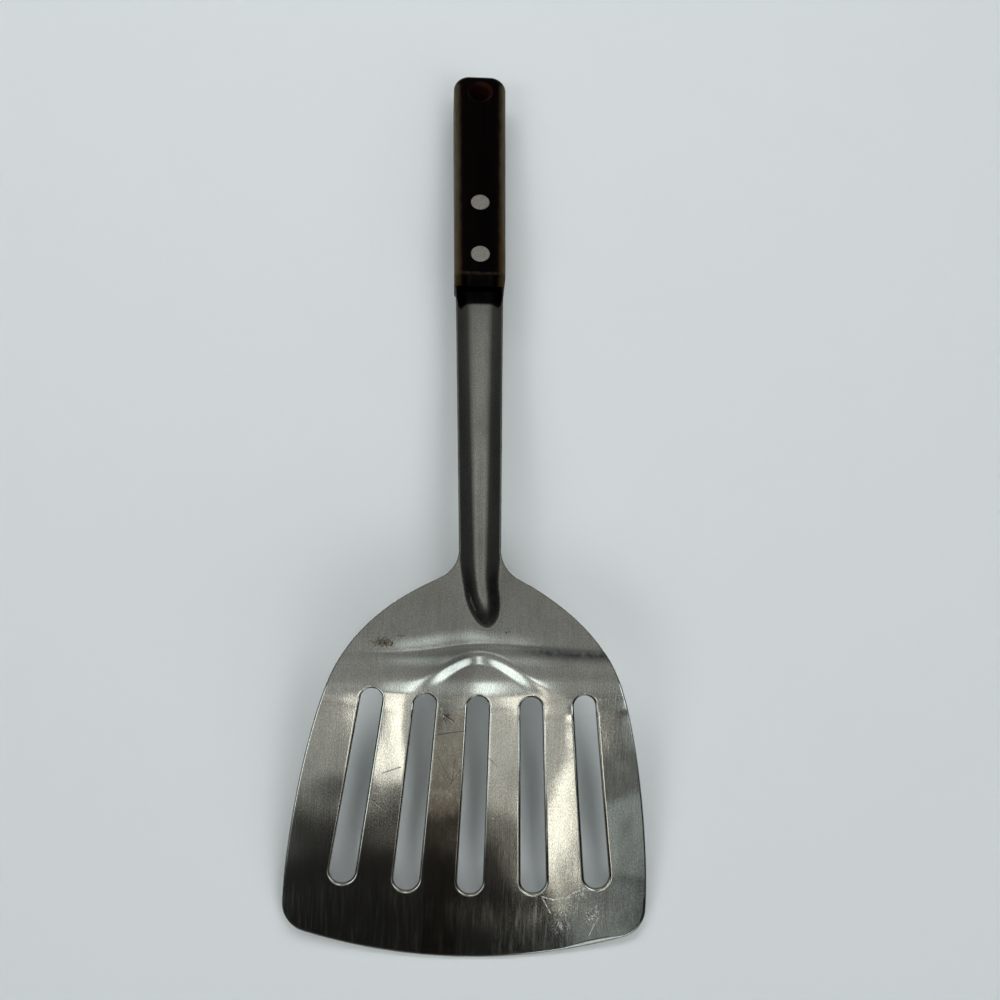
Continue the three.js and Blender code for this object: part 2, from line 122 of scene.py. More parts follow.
class SheetSettings(bpy.types.PropertyGroup):
    """Sizes and colours of the pressed steel sheet, measured along it from the middle of its bend."""

    thickness: length("Thickness", "Thickness of the steel", 1.2)
    blade_length: length("Blade length", "Heel line to the middle of the front edge", 95.6)
    blade_width: length("Blade width", "Width across the front corners", 120.4)
    heel_width: length("Heel width", "Width across the heel line", 93)
    heel_flare: angle("Heel flare", "Angle of the sides to the middle line at the heel", 24.5)
    heel_reach: length("Heel reach", "How far the side holds that angle", 17)
    corner_reach: length("Corner reach", "How far the side runs straight into the corner", 21)
    corner_radius: length("Corner radius", "Radius of the front corners", 10)
    front_radius: length("Front radius", "Radius of the front edge", 185)
    bend_angle: angle("Bend angle", "Angle between shank and blade", 27)
    bend_radius: length("Bend radius", "Radius of the bend at the heel", 32)
    blade_skew: angle("Blade skew", "How far the blade is turned out of line with the shank", 1.8)
    slot_count: IntProperty(name="Slots", description="Number of slots", default=5, min=1)
    slot_rear: length("Slot rear", "Heel line to the rear end of the middle slot", 8)
    slot_front: length("Slot front", "Heel line to the front end of the middle slot", 74)
    slot_width_rear: length("Slot width, rear", "Width of a slot at its rear end", 7)
    slot_width_front: length("Slot width, front", "Width of a slot at its front end", 8.4)
    slot_pitch_rear: length("Slot pitch, rear", "Distance of the slots at their rear ends", 17.4)
    slot_pitch_front: length("Slot pitch, front", "Distance of the slots at their front ends", 21)
    slot_end_radius: length("Slot end radius", "Radius of the arcs on which the slots end", 325)
    slot_offset: length("Slot offset", "The row of slots lies this far off the middle line", 1)
    arch_depth: length("Arch depth", "Depth of the hollow that is pressed in at the heel", 1.25)
    arch_half_width: length("Arch half width", "Half the width of the arched hollow", 26)
    arch_crown: length("Arch crown", "Heel line to the crown of the arch", -4.6)
    arch_rise: length("Arch rise", "Distance of the arch's legs in front of its crown", 12.5)
    arch_spread: length("Arch spread", "Distance of the arch's legs from its middle", 16.2)
    arch_offset: length("Arch offset", "The crown lies this far off the middle line", 0)
    arch_right_width: length("Arch right width", "How far the arch reaches to the right", 30)
    arch_lean: share("Arch lean", "How much wider the arch is right of its crown", 0.08)
    arch_skew: angle("Arch skew", "How far the arch is turned", 3.1)
    arch_step: length("Arch step", "Length of the slope behind the hollow", 5.5)
    arch_fade: length("Arch fade", "Length over which the hollow runs out", 45)
    shank_length: length("Shank length", "Heel line to the handle", 149.5)
    neck_width: length("Neck width", "Width of the shank at the neck", 14.5)
    neck: length("Neck", "Heel line to the corner between shank and shoulder", 35.4)
    neck_fillet: length("Neck fillet", "Radius between shank and shoulder", 11.3)
    shoulder_angle: angle("Shoulder angle", "Angle of the shoulder to the middle line", 61)
    shoulder_straight: length("Shoulder straight", "Straight stretch after the fillet", 4.7)
    channel_rear: length("Channel depth, rear", "Depth of the channel at the handle", 2)
    channel_neck: length("Channel depth, neck", "Depth of the channel at the neck", 2.9)
    channel_run_in: length("Channel run-in", "Length in the handle over which it starts", 6)
    channel_flatness: FloatProperty(
        name="Channel flatness",
        description="Power of the channel's section at the handle, where its floor is flat",
        default=3,
        min=2,
    )
    channel_width: length("Channel width", "Width of the channel where its nose starts", 12.4)
    channel_nose: length("Channel nose", "Length of the channel's rounded nose", 13)
    channel_tip: length("Channel tip", "Heel line to the tip of the nose", 14.6)
    channel_drift: length("Channel drift", "The tip lies this far off the middle", 2.2)
    channel_lip: share("Channel lip", "How far the channel's sides flatten out at their lips", 0.3)
    tang_length: length("Tang length", "Length of the tang in the handle", 44.3)
    tang_inset: length("Tang inset", "The tang's edges lie this far inside the handle's sides", 0.5)
    tang_taper: length("Tang taper", "The tang's end is this much narrower on each side", 1)
    wave_seed: IntProperty(name="Wave seed", description="Choice of the small waves", default=7)
    wave_count: IntProperty(name="Waves", description="Number of small waves", default=9, min=0)
    wave_least: length("Shortest wave", "Shortest of the small waves in the steel", 13)
    wave_most: length("Longest wave", "Longest of the small waves in the steel", 38)
    wave_slope: angle("Wave slope", "Steepness of each small wave", 0.16)
    crease_line: length("Crease line", "Heel line to the crease that the bend starts with", -6.6)
    crease_rise: length("Crease rise", "The middle of the crease lies this far behind its ends", 2.8)
    crease_spread: length("Crease spread", "Half the width of the bow in the right of the crease", 27)
    crease_length: length("Crease length", "Length of the slope down into the crease", 9)
    crease_before: angle("Crease slope", "Slope of the sheet behind the crease", 10.5)
    crease_after: angle("Crease return", "Slope of the sheet in front of the crease", 8)
    crease_recovery: length("Crease recovery", "Length over which that slope runs out", 2.5)
    crease_fade: length("Crease fade", "Length over which the crease is lost", 30)
    ripple_height: length("Ripple height", "Height of the ripples behind the slots", 0.06)
    ripple_width: length("Ripple width", "Width of the ripples", 1.9)
    ripple_first: length("First ripple", "Heel line to the first ripple", 8.6)
    ripple_second: length("Second ripple", "Heel line to the second ripple", 13.4)
    edge_width: length("Edge width", "Width of the rounded edges", 0.45)
    edge_depth: length("Edge depth", "Depth of the rounded edges", 0.35)
    wear_place: length("Wear place", "Middle line to the place where the front edge is worn", 43)
    wear_reach: length("Wear reach", "How far the front edge is worn on each side of it", 8)
    wear_elsewhere: share("Wear elsewhere", "How much of that wear the rest of the front edge has", 0.2)
    wear_width: length("Wear width", "Width of the worn front edge", 2.2)
    slot_edge_width: length("Slot edge width", "Width of the rolled edges of the slots", 0.8)
    slot_edge_depth: length("Slot edge depth", "Depth of the rolled edges of the slots", 0.35)
    metal: colour("Metal", "Colour of the bare steel", 0.59, 0.6, 0.555)
    film: colour("Film", "Colour of the brown film on the steel", 0.17, 0.15, 0.12)
    # Painted shade: the grey laid on the steel in the crease, beside the arch, in front of the handle and
    # on the channel's walls
    painted_shade: colour("Grime", "Colour of the grey grime in its hollows", 0.1, 0.11, 0.11)
    burn: colour("Burn", "Colour of the burnt-on spots", 0.03, 0.018, 0.006)
    burn_fringe: colour("Burn fringe", "Colour around the burnt-on spots", 0.12, 0.08, 0.025)
    # Also the colour of the painted shade on the sheet's rims
    score_and_rim_shade: colour("Score", "Colour of the dark scratches", 0.06, 0.055, 0.045)
    # Painted glints: the pale colour that the scratches, scuffs and flecks are given
    bright: colour("Bright scratch", "Colour of the bright scratches", 0.85, 0.86, 0.84)
    gloss: share("Roughness", "Roughness of the steel where it is clean", 0.085)


class HandleSettings(bpy.types.PropertyGroup):
    """Sizes and colours of the wooden handle."""

    length: length("Length", "Length of the handle", 99)
    width_front: length("Front width", "Width at the front face", 19.3)
    width_rear: length("Rear width", "Width at the rear end", 21.4)
    thickness: length("Thickness", "Thickness of the handle", 18)
    edge: length("Edge", "Radius of the long edges", 3)
    corner: length("Corner", "Radius of the rear corners, seen from above", 6.5)
    front_edge: length("Front edge", "Radius of the edges of the front face", 0.5)
    saw_clearance: length("Saw clearance", "Room above and below the tang in its saw cut", 0.05)
    hole_diameter: length("Hole diameter", "Diameter of the hang hole", 8)
    hole_countersink: length("Hole countersink", "Depth of the hole's sloping mouth", 1.3)
    hole_inset: length("Hole inset", "Centre of the hole to the rear end", 9.2)
    dark: colour("Dark wood", "Colour of the dark grain", 0.0005, 0.0003, 0.0003)
    red: colour("Red wood", "Colour of the lighter grain", 0.0022, 0.0007, 0.0005)
    fringe: colour("Fringe", "Colour of the wood beside the worn edges", 0.006, 0.0015, 0.001)
    rubbed: colour("Rubbed wood", "Colour of the inner side of the worn edges", 0.026, 0.018, 0.012)
    worn: colour("Worn wood", "Colour of the worn edges", 0.07, 0.058, 0.036)
    browning: colour("Browning", "Tint of the worn edges near the blade", 0.95, 0.82, 0.58)
    raw: colour("Raw wood", "Colour of the wood in the hang hole", 0.02, 0.006, 0.0035)


class RivetSettings(bpy.types.PropertyGroup):
    """Sizes and colour of the two-piece rivets."""

    head: length("Head", "Diameter of the heads", 7.2)
    head_thickness: length("Head thickness", "Thickness of the heads", 1.6)
    head_edge: length("Head edge", "Radius of the heads' edges", 0.2)
    head_crown: length("Head crown", "Height of the heads' slight dome", 0.06)
    tube: length("Tube", "Outer diameter of the socket's tube", 5)
    pin: length("Pin", "Diameter of the stud's pin", 2.6)
    inset: length("Inset", "Front rivet to the handle's front face", 9)
    spacing: length("Spacing", "Distance of the rivets", 24.3)
    fit: length("Fit", "Clearance of a rivet in the wood", 0.06)
    metal: colour("Metal", "Colour of the rivets", 0.33, 0.315, 0.28)


class StageSettings(bpy.types.PropertyGroup):
    """Table, light and camera."""

    table: colour("Table", "Colour of the table", 0.74, 0.79, 0.80)
    sky: colour("Backdrop", "Colour behind the table", 0.74, 0.79, 0.80)
    camera_place: FloatVectorProperty(
        name="Camera",
        description="Place of the camera",
        default=(-9.68 * MM, -119.8 * MM, 362.58 * MM),
        subtype="TRANSLATION",
        unit="LENGTH",
    )
    camera_turn: FloatVectorProperty(
        name="Camera turn",
        description="Direction of the camera",
        default=(radians(16.874), radians(-3.407), radians(-0.207)),
        subtype="EULER",
        unit="ROTATION",
    )
    camera_view: angle("Angle of view", "Angle of view of the square picture", 53.13)
    fill: FloatProperty(
        name="Fill light",
        description="Power of the large soft lights, for a distance of one metre",
        default=7.6,
        unit="POWER",
    )


def arc(centre, radius, start, end, steps=24):
    """Points on an arc about a centre."""
    turn = np.linspace(start, end, steps + 1)
    return np.column_stack((centre[0] + radius * np.cos(turn), centre[1] + radius * np.sin(turn)))


def curve(*controls, steps=32):
    """Points on the Bezier curve of these controls."""
    points = np.repeat(np.array(controls, float)[None], steps + 1, axis=0)
    place = np.linspace(0, 1, steps + 1)[:, None, None]
    while points.shape[1] > 1:
        points = points[:, :-1] * (1 - place) + points[:, 1:] * place
    return points[:, 0]


def smooth(value, start, end):
    """0 before start, 1 after end and a soft rise between."""
    place = np.clip((value - start) / (end - start), 0, 1)
    return place * place * (3 - 2 * place)


def bell(value, middle, reach):
    """1 at a middle, and a soft fall to nothing past its reach."""
    return np.exp(-(((value - middle) / reach) ** 2))


def even_loop(points, step):
    """A closed line with its points set at even steps."""
    closed = np.vstack((points, points[:1]))
    run = np.concatenate(([0], np.cumsum(np.hypot(*np.diff(closed, axis=0).T))))
    places = np.linspace(0, run[-1], int(run[-1] / step) + 1)[:-1]
    return np.column_stack([np.interp(places, run, closed[:, axis]) for axis in (0, 1)])


def left_normals(loop):
    """Unit vectors to the left of a closed line's direction."""
    ahead = np.roll(loop, -1, axis=0) - np.roll(loop, 1, axis=0)
    ahead /= np.hypot(*ahead.T)[:, None]
    return np.column_stack((-ahead[:, 1], ahead[:, 0]))


def inside(points, loop):
    """Which points lie inside a closed line."""
    result = np.zeros(len(points), bool)
    x, y = points.T
    for (ax, ay), (bx, by) in zip(loop, np.roll(loop, -1, axis=0)):
        if ay != by:
            crosses = ((ay > y) != (by > y)) & (x < ax + (y - ay) * (bx - ax) / (by - ay))
            result ^= crosses
    return result


def far_from(points, loop, distance):
    """Which points are farther than a distance from all points of a line."""
    result = np.ones(len(points), bool)
    for place in loop:
        result &= np.hypot(*(points - place).T) > distance
    return result


# Points at the start of a side's edge, along the tang and the shank and into the neck's fillet
NECK_POINTS = 20

# The step over which the sheet's slopes are measured, as a share of its thickness
SLOPE_STEP = 1 / 6

# How the crease's slopes lose or gain towards the ends of the heel, and from its left to its right
CREASE_LOSS_AT_ENDS = 0.5
CREASE_LOSS_TO_RIGHT = 0.4
CREASE_GAIN_TO_RIGHT = 0.5

# Painted shade on the sheet, where dark reflections fall: the middle and reach of a patch, or where it
# starts and ends, in millimetres
BAND_AHEAD = (1.5, 2)  # in front of the crease
BAND_ASIDE = (5, 24)  # right of the middle line
DARK_PATCH_AHEAD = (4.5, 4.5)  # in front of the crease
DARK_PATCH_ASIDE = (-10, 13)  # from the middle line, which its middle lies left of
SHADE_END = (6, 7.4)  # in front of the handle
WALL_TO_TIP = (-26, -14)  # behind the channel's tip
WALL_TOP = (0.02, 0.2)  # as shares of the channel's depth
WALL_FOOT = (0.55, 0.9)
# All four patches are painted shade: the band in the crease, the smudge beside the arch, the handle's
# dark reflection and the channel's walls
PAINTED_SHADE_SHARES = (0.85, 0.5, 0.9, 0.8)  # of the band, the smudge, the shade and the walls


class SheetForm:
    """The pressed sheet: leads from a place on the flat sheet to a point of the bent steel."""

    def __init__(self, sheet, handle):
        self.sheet = sheet
        self.bend_length = sheet.bend_angle * sheet.bend_radius
        self.shank_width = handle.width_front - 2 * sheet.tang_inset
        self.side = self.half_outline()

    def half_outline(self):
        """One side's edge, from the tang's end to the middle of the front edge."""
        s = self.sheet
        neck = s.neck_width / 2
        heel = s.heel_width / 2
        rise = tan(s.shoulder_angle)
        flare = tan(s.heel_flare)
        fillet = s.neck_fillet * tan(s.shoulder_angle / 2)
        straight = fillet + s.shoulder_straight
        shoulder = (
            -s.neck + straight * cos(s.shoulder_angle),
            neck + straight * sin(s.shoulder_angle),
        )
        meet = (heel - neck - s.neck * rise) / (rise - flare)
        corner = s.blade_width / 2 - s.corner_radius
        reach = s.front_radius - s.corner_radius
        front_centre = s.blade_length - s.front_radius
        corner_at = front_centre + sqrt(reach**2 - corner**2)
        corner_turn = asin(corner / reach)
        tang_end = s.shank_length + s.tang_length
        return np.vstack(
            (
                (-tang_end, self.shank_width / 2 - s.tang_taper),
                (-s.shank_length, self.shank_width / 2),
                arc(
                    (-s.neck - fillet, neck + s.neck_fillet),
                    s.neck_fillet,
                    -pi / 2,
                    s.shoulder_angle - pi / 2,
                ),
                curve(shoulder, (meet, heel + meet * flare), (0, heel)),
                curve(
                    (0, heel),
                    (s.heel_reach, heel + s.heel_reach * flare),
                    (corner_at - s.corner_reach, s.blade_width / 2),
                    (corner_at, s.blade_width / 2),
                )[1:],
                arc((corner_at, corner), s.corner_radius, pi / 2, corner_turn)[1:],
                arc((front_centre, 0), s.front_radius, corner_turn, 0)[1:],
            )
        )

    def outline(self, step):
        """The whole edge of the flat sheet, as a closed line."""
        mirrored = self.side[-2::-1] * (1, -1)
        return even_loop(np.vstack((self.side, mirrored))[::-1], step)

    def slot(self, number, step):
        """The edge of one slot, counted from the middle one: two end circles and their tangents."""
        s = self.sheet
        ends = []
        for pitch, width, tip, inward in (
            (s.slot_pitch_rear, s.slot_width_rear, s.slot_rear, 1),
            (s.slot_pitch_front, s.slot_width_front, s.slot_front, -1),
        ):
            offset = number * pitch
            sag = s.slot_end_radius - sqrt(s.slot_end_radius**2 - offset**2)
            ends.append((tip - sag + inward * width / 2, offset + s.slot_offset, width / 2))
        rear, front = ends
        run = front[0] - rear[0]
        drift = front[1] - rear[1]
        direction = atan2(drift, run)
        touch = pi / 2 + asin((front[2] - rear[2]) / hypot(run, drift))
        loop = np.vstack(
            (
                arc(front[:2], front[2], direction + touch, direction - touch),
                arc(rear[:2], rear[2], direction - touch, direction + touch - 2 * pi),
            )
        )
        return even_loop(loop, step)

    def under_press(self, flat):
        """Where places on the flat sheet lie under the press, once the blade is turned at the neck."""
        s = self.sheet
        along, across = flat.T
        stretch = 2 * s.neck_fillet
        start = -s.neck - s.neck_fillet
        turned = np.clip((along - start) / stretch, 0, 1)
        ahead = np.maximum(along - start - stretch, 0)
        turn = s.blade_skew * turned
        shift = s.blade_skew * stretch * turned**2 / 2 + ahead * sin(s.blade_skew)
        return (
            along - ahead * (1 - cos(s.blade_skew)) + across * np.sin(turn),
            across * np.cos(turn) - shift,
        )

    def channel(self, along, across):
        """Depth of the channel that is pressed into the shank."""
        s = self.sheet
        nose_start = -s.channel_tip - s.channel_nose
        neck_start = -s.neck - s.neck_fillet / 2
        edge = np.interp(np.minimum(along, neck_start), *self.side[:NECK_POINTS].T)
        narrowing = smooth(along, neck_start, nose_start)
        half = edge + narrowing * (s.channel_width / 2 - edge)
        run_in = smooth(along, -s.shank_length - s.channel_run_in, -s.shank_length)
        deepening = np.clip((along + s.shank_length) / (s.shank_length + neck_start), 0, 1)
        depth = run_in * (s.channel_rear + deepening * (s.channel_neck - s.channel_rear))
        nose = np.clip((along - nose_start) / s.channel_nose, 0, 1)
        rounding = np.sqrt(1 - nose**2)
        middle = s.channel_drift * smooth(along, neck_start, -s.channel_tip) ** 2
        place = (across - middle) / np.maximum(half * rounding, MM * MM)
        power = s.channel_flatness + deepening * (2 - s.channel_flatness)
        hollow = np.maximum(1 - np.abs(place) ** power, 0)
        return depth * rounding**2 * (1 + s.channel_lip) * hollow**2 / (hollow + s.channel_lip)

    def arch(self, along, across):
        """Depth of the hollow at the heel, behind which the sheet steps down along an arched line."""
        s = self.sheet
        widening = np.where(across > s.arch_offset, 1 + s.arch_lean, 1)
        rise = s.arch_rise * (1 - bell(across, s.arch_offset, s.arch_spread * widening))
        line = s.arch_crown + rise + across * tan(s.arch_skew)
        step = smooth(along, line - s.arch_step / 2, line + s.arch_step / 2)
        fade = 1 - smooth(along, line + s.arch_step, line + s.arch_step + s.arch_fade)
        reach = np.where(across > 0, s.arch_right_width, s.arch_half_width)
        place = np.clip(across / reach, -1, 1)
        return s.arch_depth * step * fade * np.cos(place * pi / 2) ** 2

    def crease_place(self, across):
        """Where the crease lies along the sheet."""
        s = self.sheet
        spread = np.where(across > 0, s.crease_spread, s.arch_spread)
        return s.crease_line - s.crease_rise * bell(across, 0, spread)

    def painted_shade(self, flat):
        """How much painted shade darkens the steel: a band in front of the crease, a patch beside the
        arch, a painted reflection of the handle's dark front face, and the channel's walls.
        """
        s = self.sheet
        along, across = self.under_press(flat)
        ahead = (along - self.crease_place(across)) / MM
        aside = across / MM
        band = bell(ahead, *BAND_AHEAD) * smooth(aside, *BAND_ASIDE)
        dark_patch = bell(ahead, *DARK_PATCH_AHEAD) * bell(aside, *DARK_PATCH_ASIDE)
        shade = 1 - smooth((along + s.shank_length) / MM, *SHADE_END)
        hollow = self.channel(along, across) / s.channel_neck
        wall = smooth(hollow, *WALL_TOP) * (1 - smooth(hollow, *WALL_FOOT))
        wall *= smooth((along + s.channel_tip) / MM, *WALL_TO_TIP)
        patches = np.column_stack((band, dark_patch, shade, wall))
        return np.max(patches * PAINTED_SHADE_SHARES, axis=1)

    def crease(self, along, across):
        """Depth of the soft crease that the bend starts with."""
        s = self.sheet
        place = along - self.crease_place(across)
        side = np.clip(across / (s.heel_width / 2), -1, 1)
        before = s.crease_before * (1 - side**2 * CREASE_LOSS_AT_ENDS - side * CREASE_LOSS_TO_RIGHT)
        after = s.crease_after * (1 + side * CREASE_GAIN_TO_RIGHT)
        recovery = s.crease_recovery
        falling = np.clip(place + s.crease_length, 0, s.crease_length)
        rising = np.maximum(place, 0)
        depth = before * falling**3 / (3 * s.crease_length**2)
        depth -= after * recovery * (1 - np.exp(-rising / recovery))
        return depth * bell(rising, 0, s.crease_fade)

    def middle_surface(self, along, across):
        """Points of the bent and pressed sheet, with the shank level along +Y from the bend."""
        s = self.sheet
        half_bend = self.bend_length / 2
        straight = np.minimum(along + half_bend, 0)
        turn = np.clip(along + half_bend, 0, self.bend_length) / s.bend_radius
        ahead = np.maximum(along - half_bend, 0)
        depth = self.channel(along, across) + self.arch(along, across) + self.crease(along, across)
        return np.column_stack(
            (
                across,
                -straight - (s.bend_radius - depth) * np.sin(turn) - ahead * np.cos(turn),
                s.bend_radius * (np.cos(turn) - 1) - ahead * np.sin(turn) - depth * np.cos(turn),
            )
        )

    def unevenness(self, flat):
        """Small waves that use has left in the steel."""
        s = self.sheet
        draw = np.random.default_rng(s.wave_seed)
        height = np.zeros(len(flat))
        for _ in range(s.wave_count):
            wavelength = draw.uniform(s.wave_least, s.wave_most)
            turn = draw.uniform(0, 2 * pi)
            start = draw.uniform(0, 2 * pi)
            run = flat @ (cos(turn), sin(turn)) * 2 * pi / wavelength + start
            height += np.sin(run) * s.wave_slope * wavelength / (2 * pi)
        on_blade = smooth(flat[:, 0], -s.neck, -s.neck / 2)
        return height * on_blade

    def ripples(self, flat):
        """Two low ripples across the strips, which the punch left behind the slots."""
        s = self.sheet
        along, across = flat.T
        sag = across**2 / (2 * s.slot_end_radius)
        height = np.zeros(len(flat))
        for setback in (s.ripple_first, s.ripple_second):
            height += s.ripple_height * bell(along + sag, setback, s.ripple_width)
        return height

    def place(self, flat, height):
        """Points at a height over places on the flat sheet."""
        height = height + self.unevenness(flat) + self.ripples(flat)
        along, across = self.under_press(flat)
        step = self.sheet.thickness * SLOPE_STEP
        forward = self.middle_surface(along + step, across) - self.middle_surface(along - step, across)
        sideways = self.middle_surface(along, across + step) - self.middle_surface(along, across - step)
        normal = np.cross(forward, sideways)
        normal /= np.linalg.norm(normal, axis=1)[:, None]
        return self.middle_surface(along, across) + normal * height[:, None]


def handle_front(sheet):
    """Where the handle starts on the level shank, counted from the bend."""
    return sheet.shank_length - sheet.bend_angle * sheet.bend_radius / 2


def lying_matrix(sheet, handle):
    """Leads from the level shank to the resting place, which a mount of the record gives."""
    mount = next(m for m in frame["record"]["mounts"] if m["name"] == HANDLE_MOUNT)
    tilt = atan2(mount["axis"][1], mount["axis"][2])
    turn = Matrix.Rotation(-tilt, 4, "X")
    local = Vector((0, handle_front(sheet) + MOUNT_SETBACK, handle.thickness / 2))
    return Matrix.Translation(Vector(mount["pos_m"]) - turn @ local) @ turn


def rivet_setbacks(rivets):
    """Distances of the two rivets from the handle's front face."""
    return (rivets.inset, rivets.inset + rivets.spacing)


def both_faces(rings):
    """Rings, or insets, from a plate's upper face downward, and the same again to its lower face."""
    return rings + [(ring, -height) for ring, height in reversed(rings)]


# A rounded edge starts with a flat border, whose inset is this many times the edge's width
EDGE_BORDER = 1.4


def rounded_edge(half, width, depth, steps=4):
    """Insets and heights from a plate's upper face round its edge to its lower face."""
    turns = np.linspace(0, pi / 2, steps + 1)
    upper = [(width * EDGE_BORDER, half)]
    upper += [(width * (1 - sin(turn)), half - depth * (1 - cos(turn))) for turn in turns]
    return both_faces(upper)


def profiled(loop, profile, widening=1.0):
    """Rings of a plate's edge along a closed line, which may be wider at some of its points."""
    normals = left_normals(loop)
    return [
        (loop + normals * np.reshape(inset * widening, (-1, 1)), height) for inset, height in profile
    ]


def plate(edges, inner):
    """A plate between two faces. Each edge is a list of rings, from the upper face to the lower one.

    A ring is a closed line, with the plate on its left, and its height. Returns the points' places on
    the flat plate, their heights over its middle and the faces.
    """
    flats = []
    heights = []
    faces = []
    borders = []
    uppers = []
    lowers = []
    count = 0
    border_count = 0
    for rings in edges:
        size = len(rings[0][0])
        numbers = count + np.arange(len(rings) * size).reshape(len(rings), size)
        for loop, height in rings:
            flats.append(loop)
            heights.append(np.full(size, height))
        for upper, lower in zip(numbers[:-1], numbers[1:]):
            quads = np.column_stack((upper, lower, np.roll(lower, -1), np.roll(upper, -1)))
            faces.extend(quads.tolist())
        border = border_count + np.arange(size)
        borders.extend(np.column_stack((border, np.roll(border, -1))).tolist())
        uppers.append(numbers[0])
        lowers.append(numbers[-1])
        count += numbers.size
        border_count += size
    rims = [rings[0][0] for rings in edges]
    places = np.vstack((*rims, inner))
    corners = [Vector(place) for place in places.tolist()]
    filled = delaunay_2d_cdt(corners, borders, [], 1, MM * MM)
    sources = np.array([source[0] for source in filled[3]])
    triangles = sources[np.array(filled[2])]
    middles = places[triangles].mean(axis=1)
    for rim in rims[1:]:
        kept = ~inside(middles, rim)
        triangles = triangles[kept]
        middles = middles[kept]
    inner_numbers = count + np.arange(len(inner))
    upper_numbers = np.concatenate((*uppers, inner_numbers))
    lower_numbers = np.concatenate((*lowers, inner_numbers + len(inner)))
    faces.extend(upper_numbers[triangles].tolist())
    faces.extend(lower_numbers[triangles[:, ::-1]].tolist())
    half = edges[0][0][1]
    flats.extend((inner, inner))
    heights.extend((np.full(len(inner), half), np.full(len(inner), -half)))
    return np.vstack(flats), np.concatenate(heights), faces


def on_plate(points, edges, margin):
    """The points that lie on a plate, at least a margin away from its edges."""
    rims = [rings[0][0] for rings in edges]
    points = points[inside(points, rims[0])]
    for rim in rims:
        points = points[far_from(points, rim, margin)]
    for rim in rims[1:]:
        points = points[~inside(points, rim)]
    return points


def grid(start, end, along_step, across_step, half_width):
    """Staggered points that cover a stretch of the flat sheet."""
    rows = np.arange(start, end, along_step)
    columns = np.arange(-half_width, half_width, across_step)
    along, across = np.meshgrid(rows, columns, indexing="ij")
    across = across + (np.arange(len(rows)) % 2 * across_step / 2)[:, None]
    return np.column_stack((along.ravel(), across.ravel()))


def turned(profile, steps=48):
    """Points and faces of a closed profile of radii and heights, turned about its axis."""
    turns = np.arange(steps) * 2 * pi / steps
    points = []
    faces = []
    rows = []
    for radius, height in profile:
        first = len(points)
        if radius == 0:
            points.append((0, 0, height))
            rows.append([first] * steps)
        else:
            points.extend((radius * cos(turn), radius * sin(turn), height) for turn in turns)
            rows.append([first + step for step in range(steps)])
    for low, high in zip(rows[:-1], rows[1:]):
        for step in range(steps):
            after = (step + 1) % steps
            corners = (low[step], low[after], high[after], high[step])
            faces.append(tuple(dict.fromkeys(corners)))
    return np.array(points), [face for face in faces if len(face) > 2]


def new_piece(name, points, faces):
    """An object of these points and faces."""
    mesh = bpy.data.meshes.new(name)
    mesh.from_pydata(points.tolist(), [], faces)
    mesh.update()
    mesh.shade_smooth()
    piece = bpy.data.objects.new(name, mesh)
    bpy.context.collection.objects.link(piece)
    return piece


def note(piece, name, values):
    """Keeps one number, or three, at each point of a piece for its finish."""
    wide = values.ndim == 2
    layer = piece.data.attributes.new(name, "FLOAT_VECTOR" if wide else "FLOAT", "POINT")
    layer.data.foreach_set("vector" if wide else "value", values.astype(np.float32).ravel())


def settle(piece, lying, finish, node):
    """Lays a piece down, gives it its finish and lets it stand for its CAD node."""
    piece.data.transform(lying)
    piece.data.update()
    piece.data.materials.append(finish)
    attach(piece, BODY)
    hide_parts(node)


# Numbers of the Mix node's sockets for colours, and of the one that gives their mixture
FIRST_COLOUR = 6
SECOND_COLOUR = 7
MIXED_COLOUR = 2


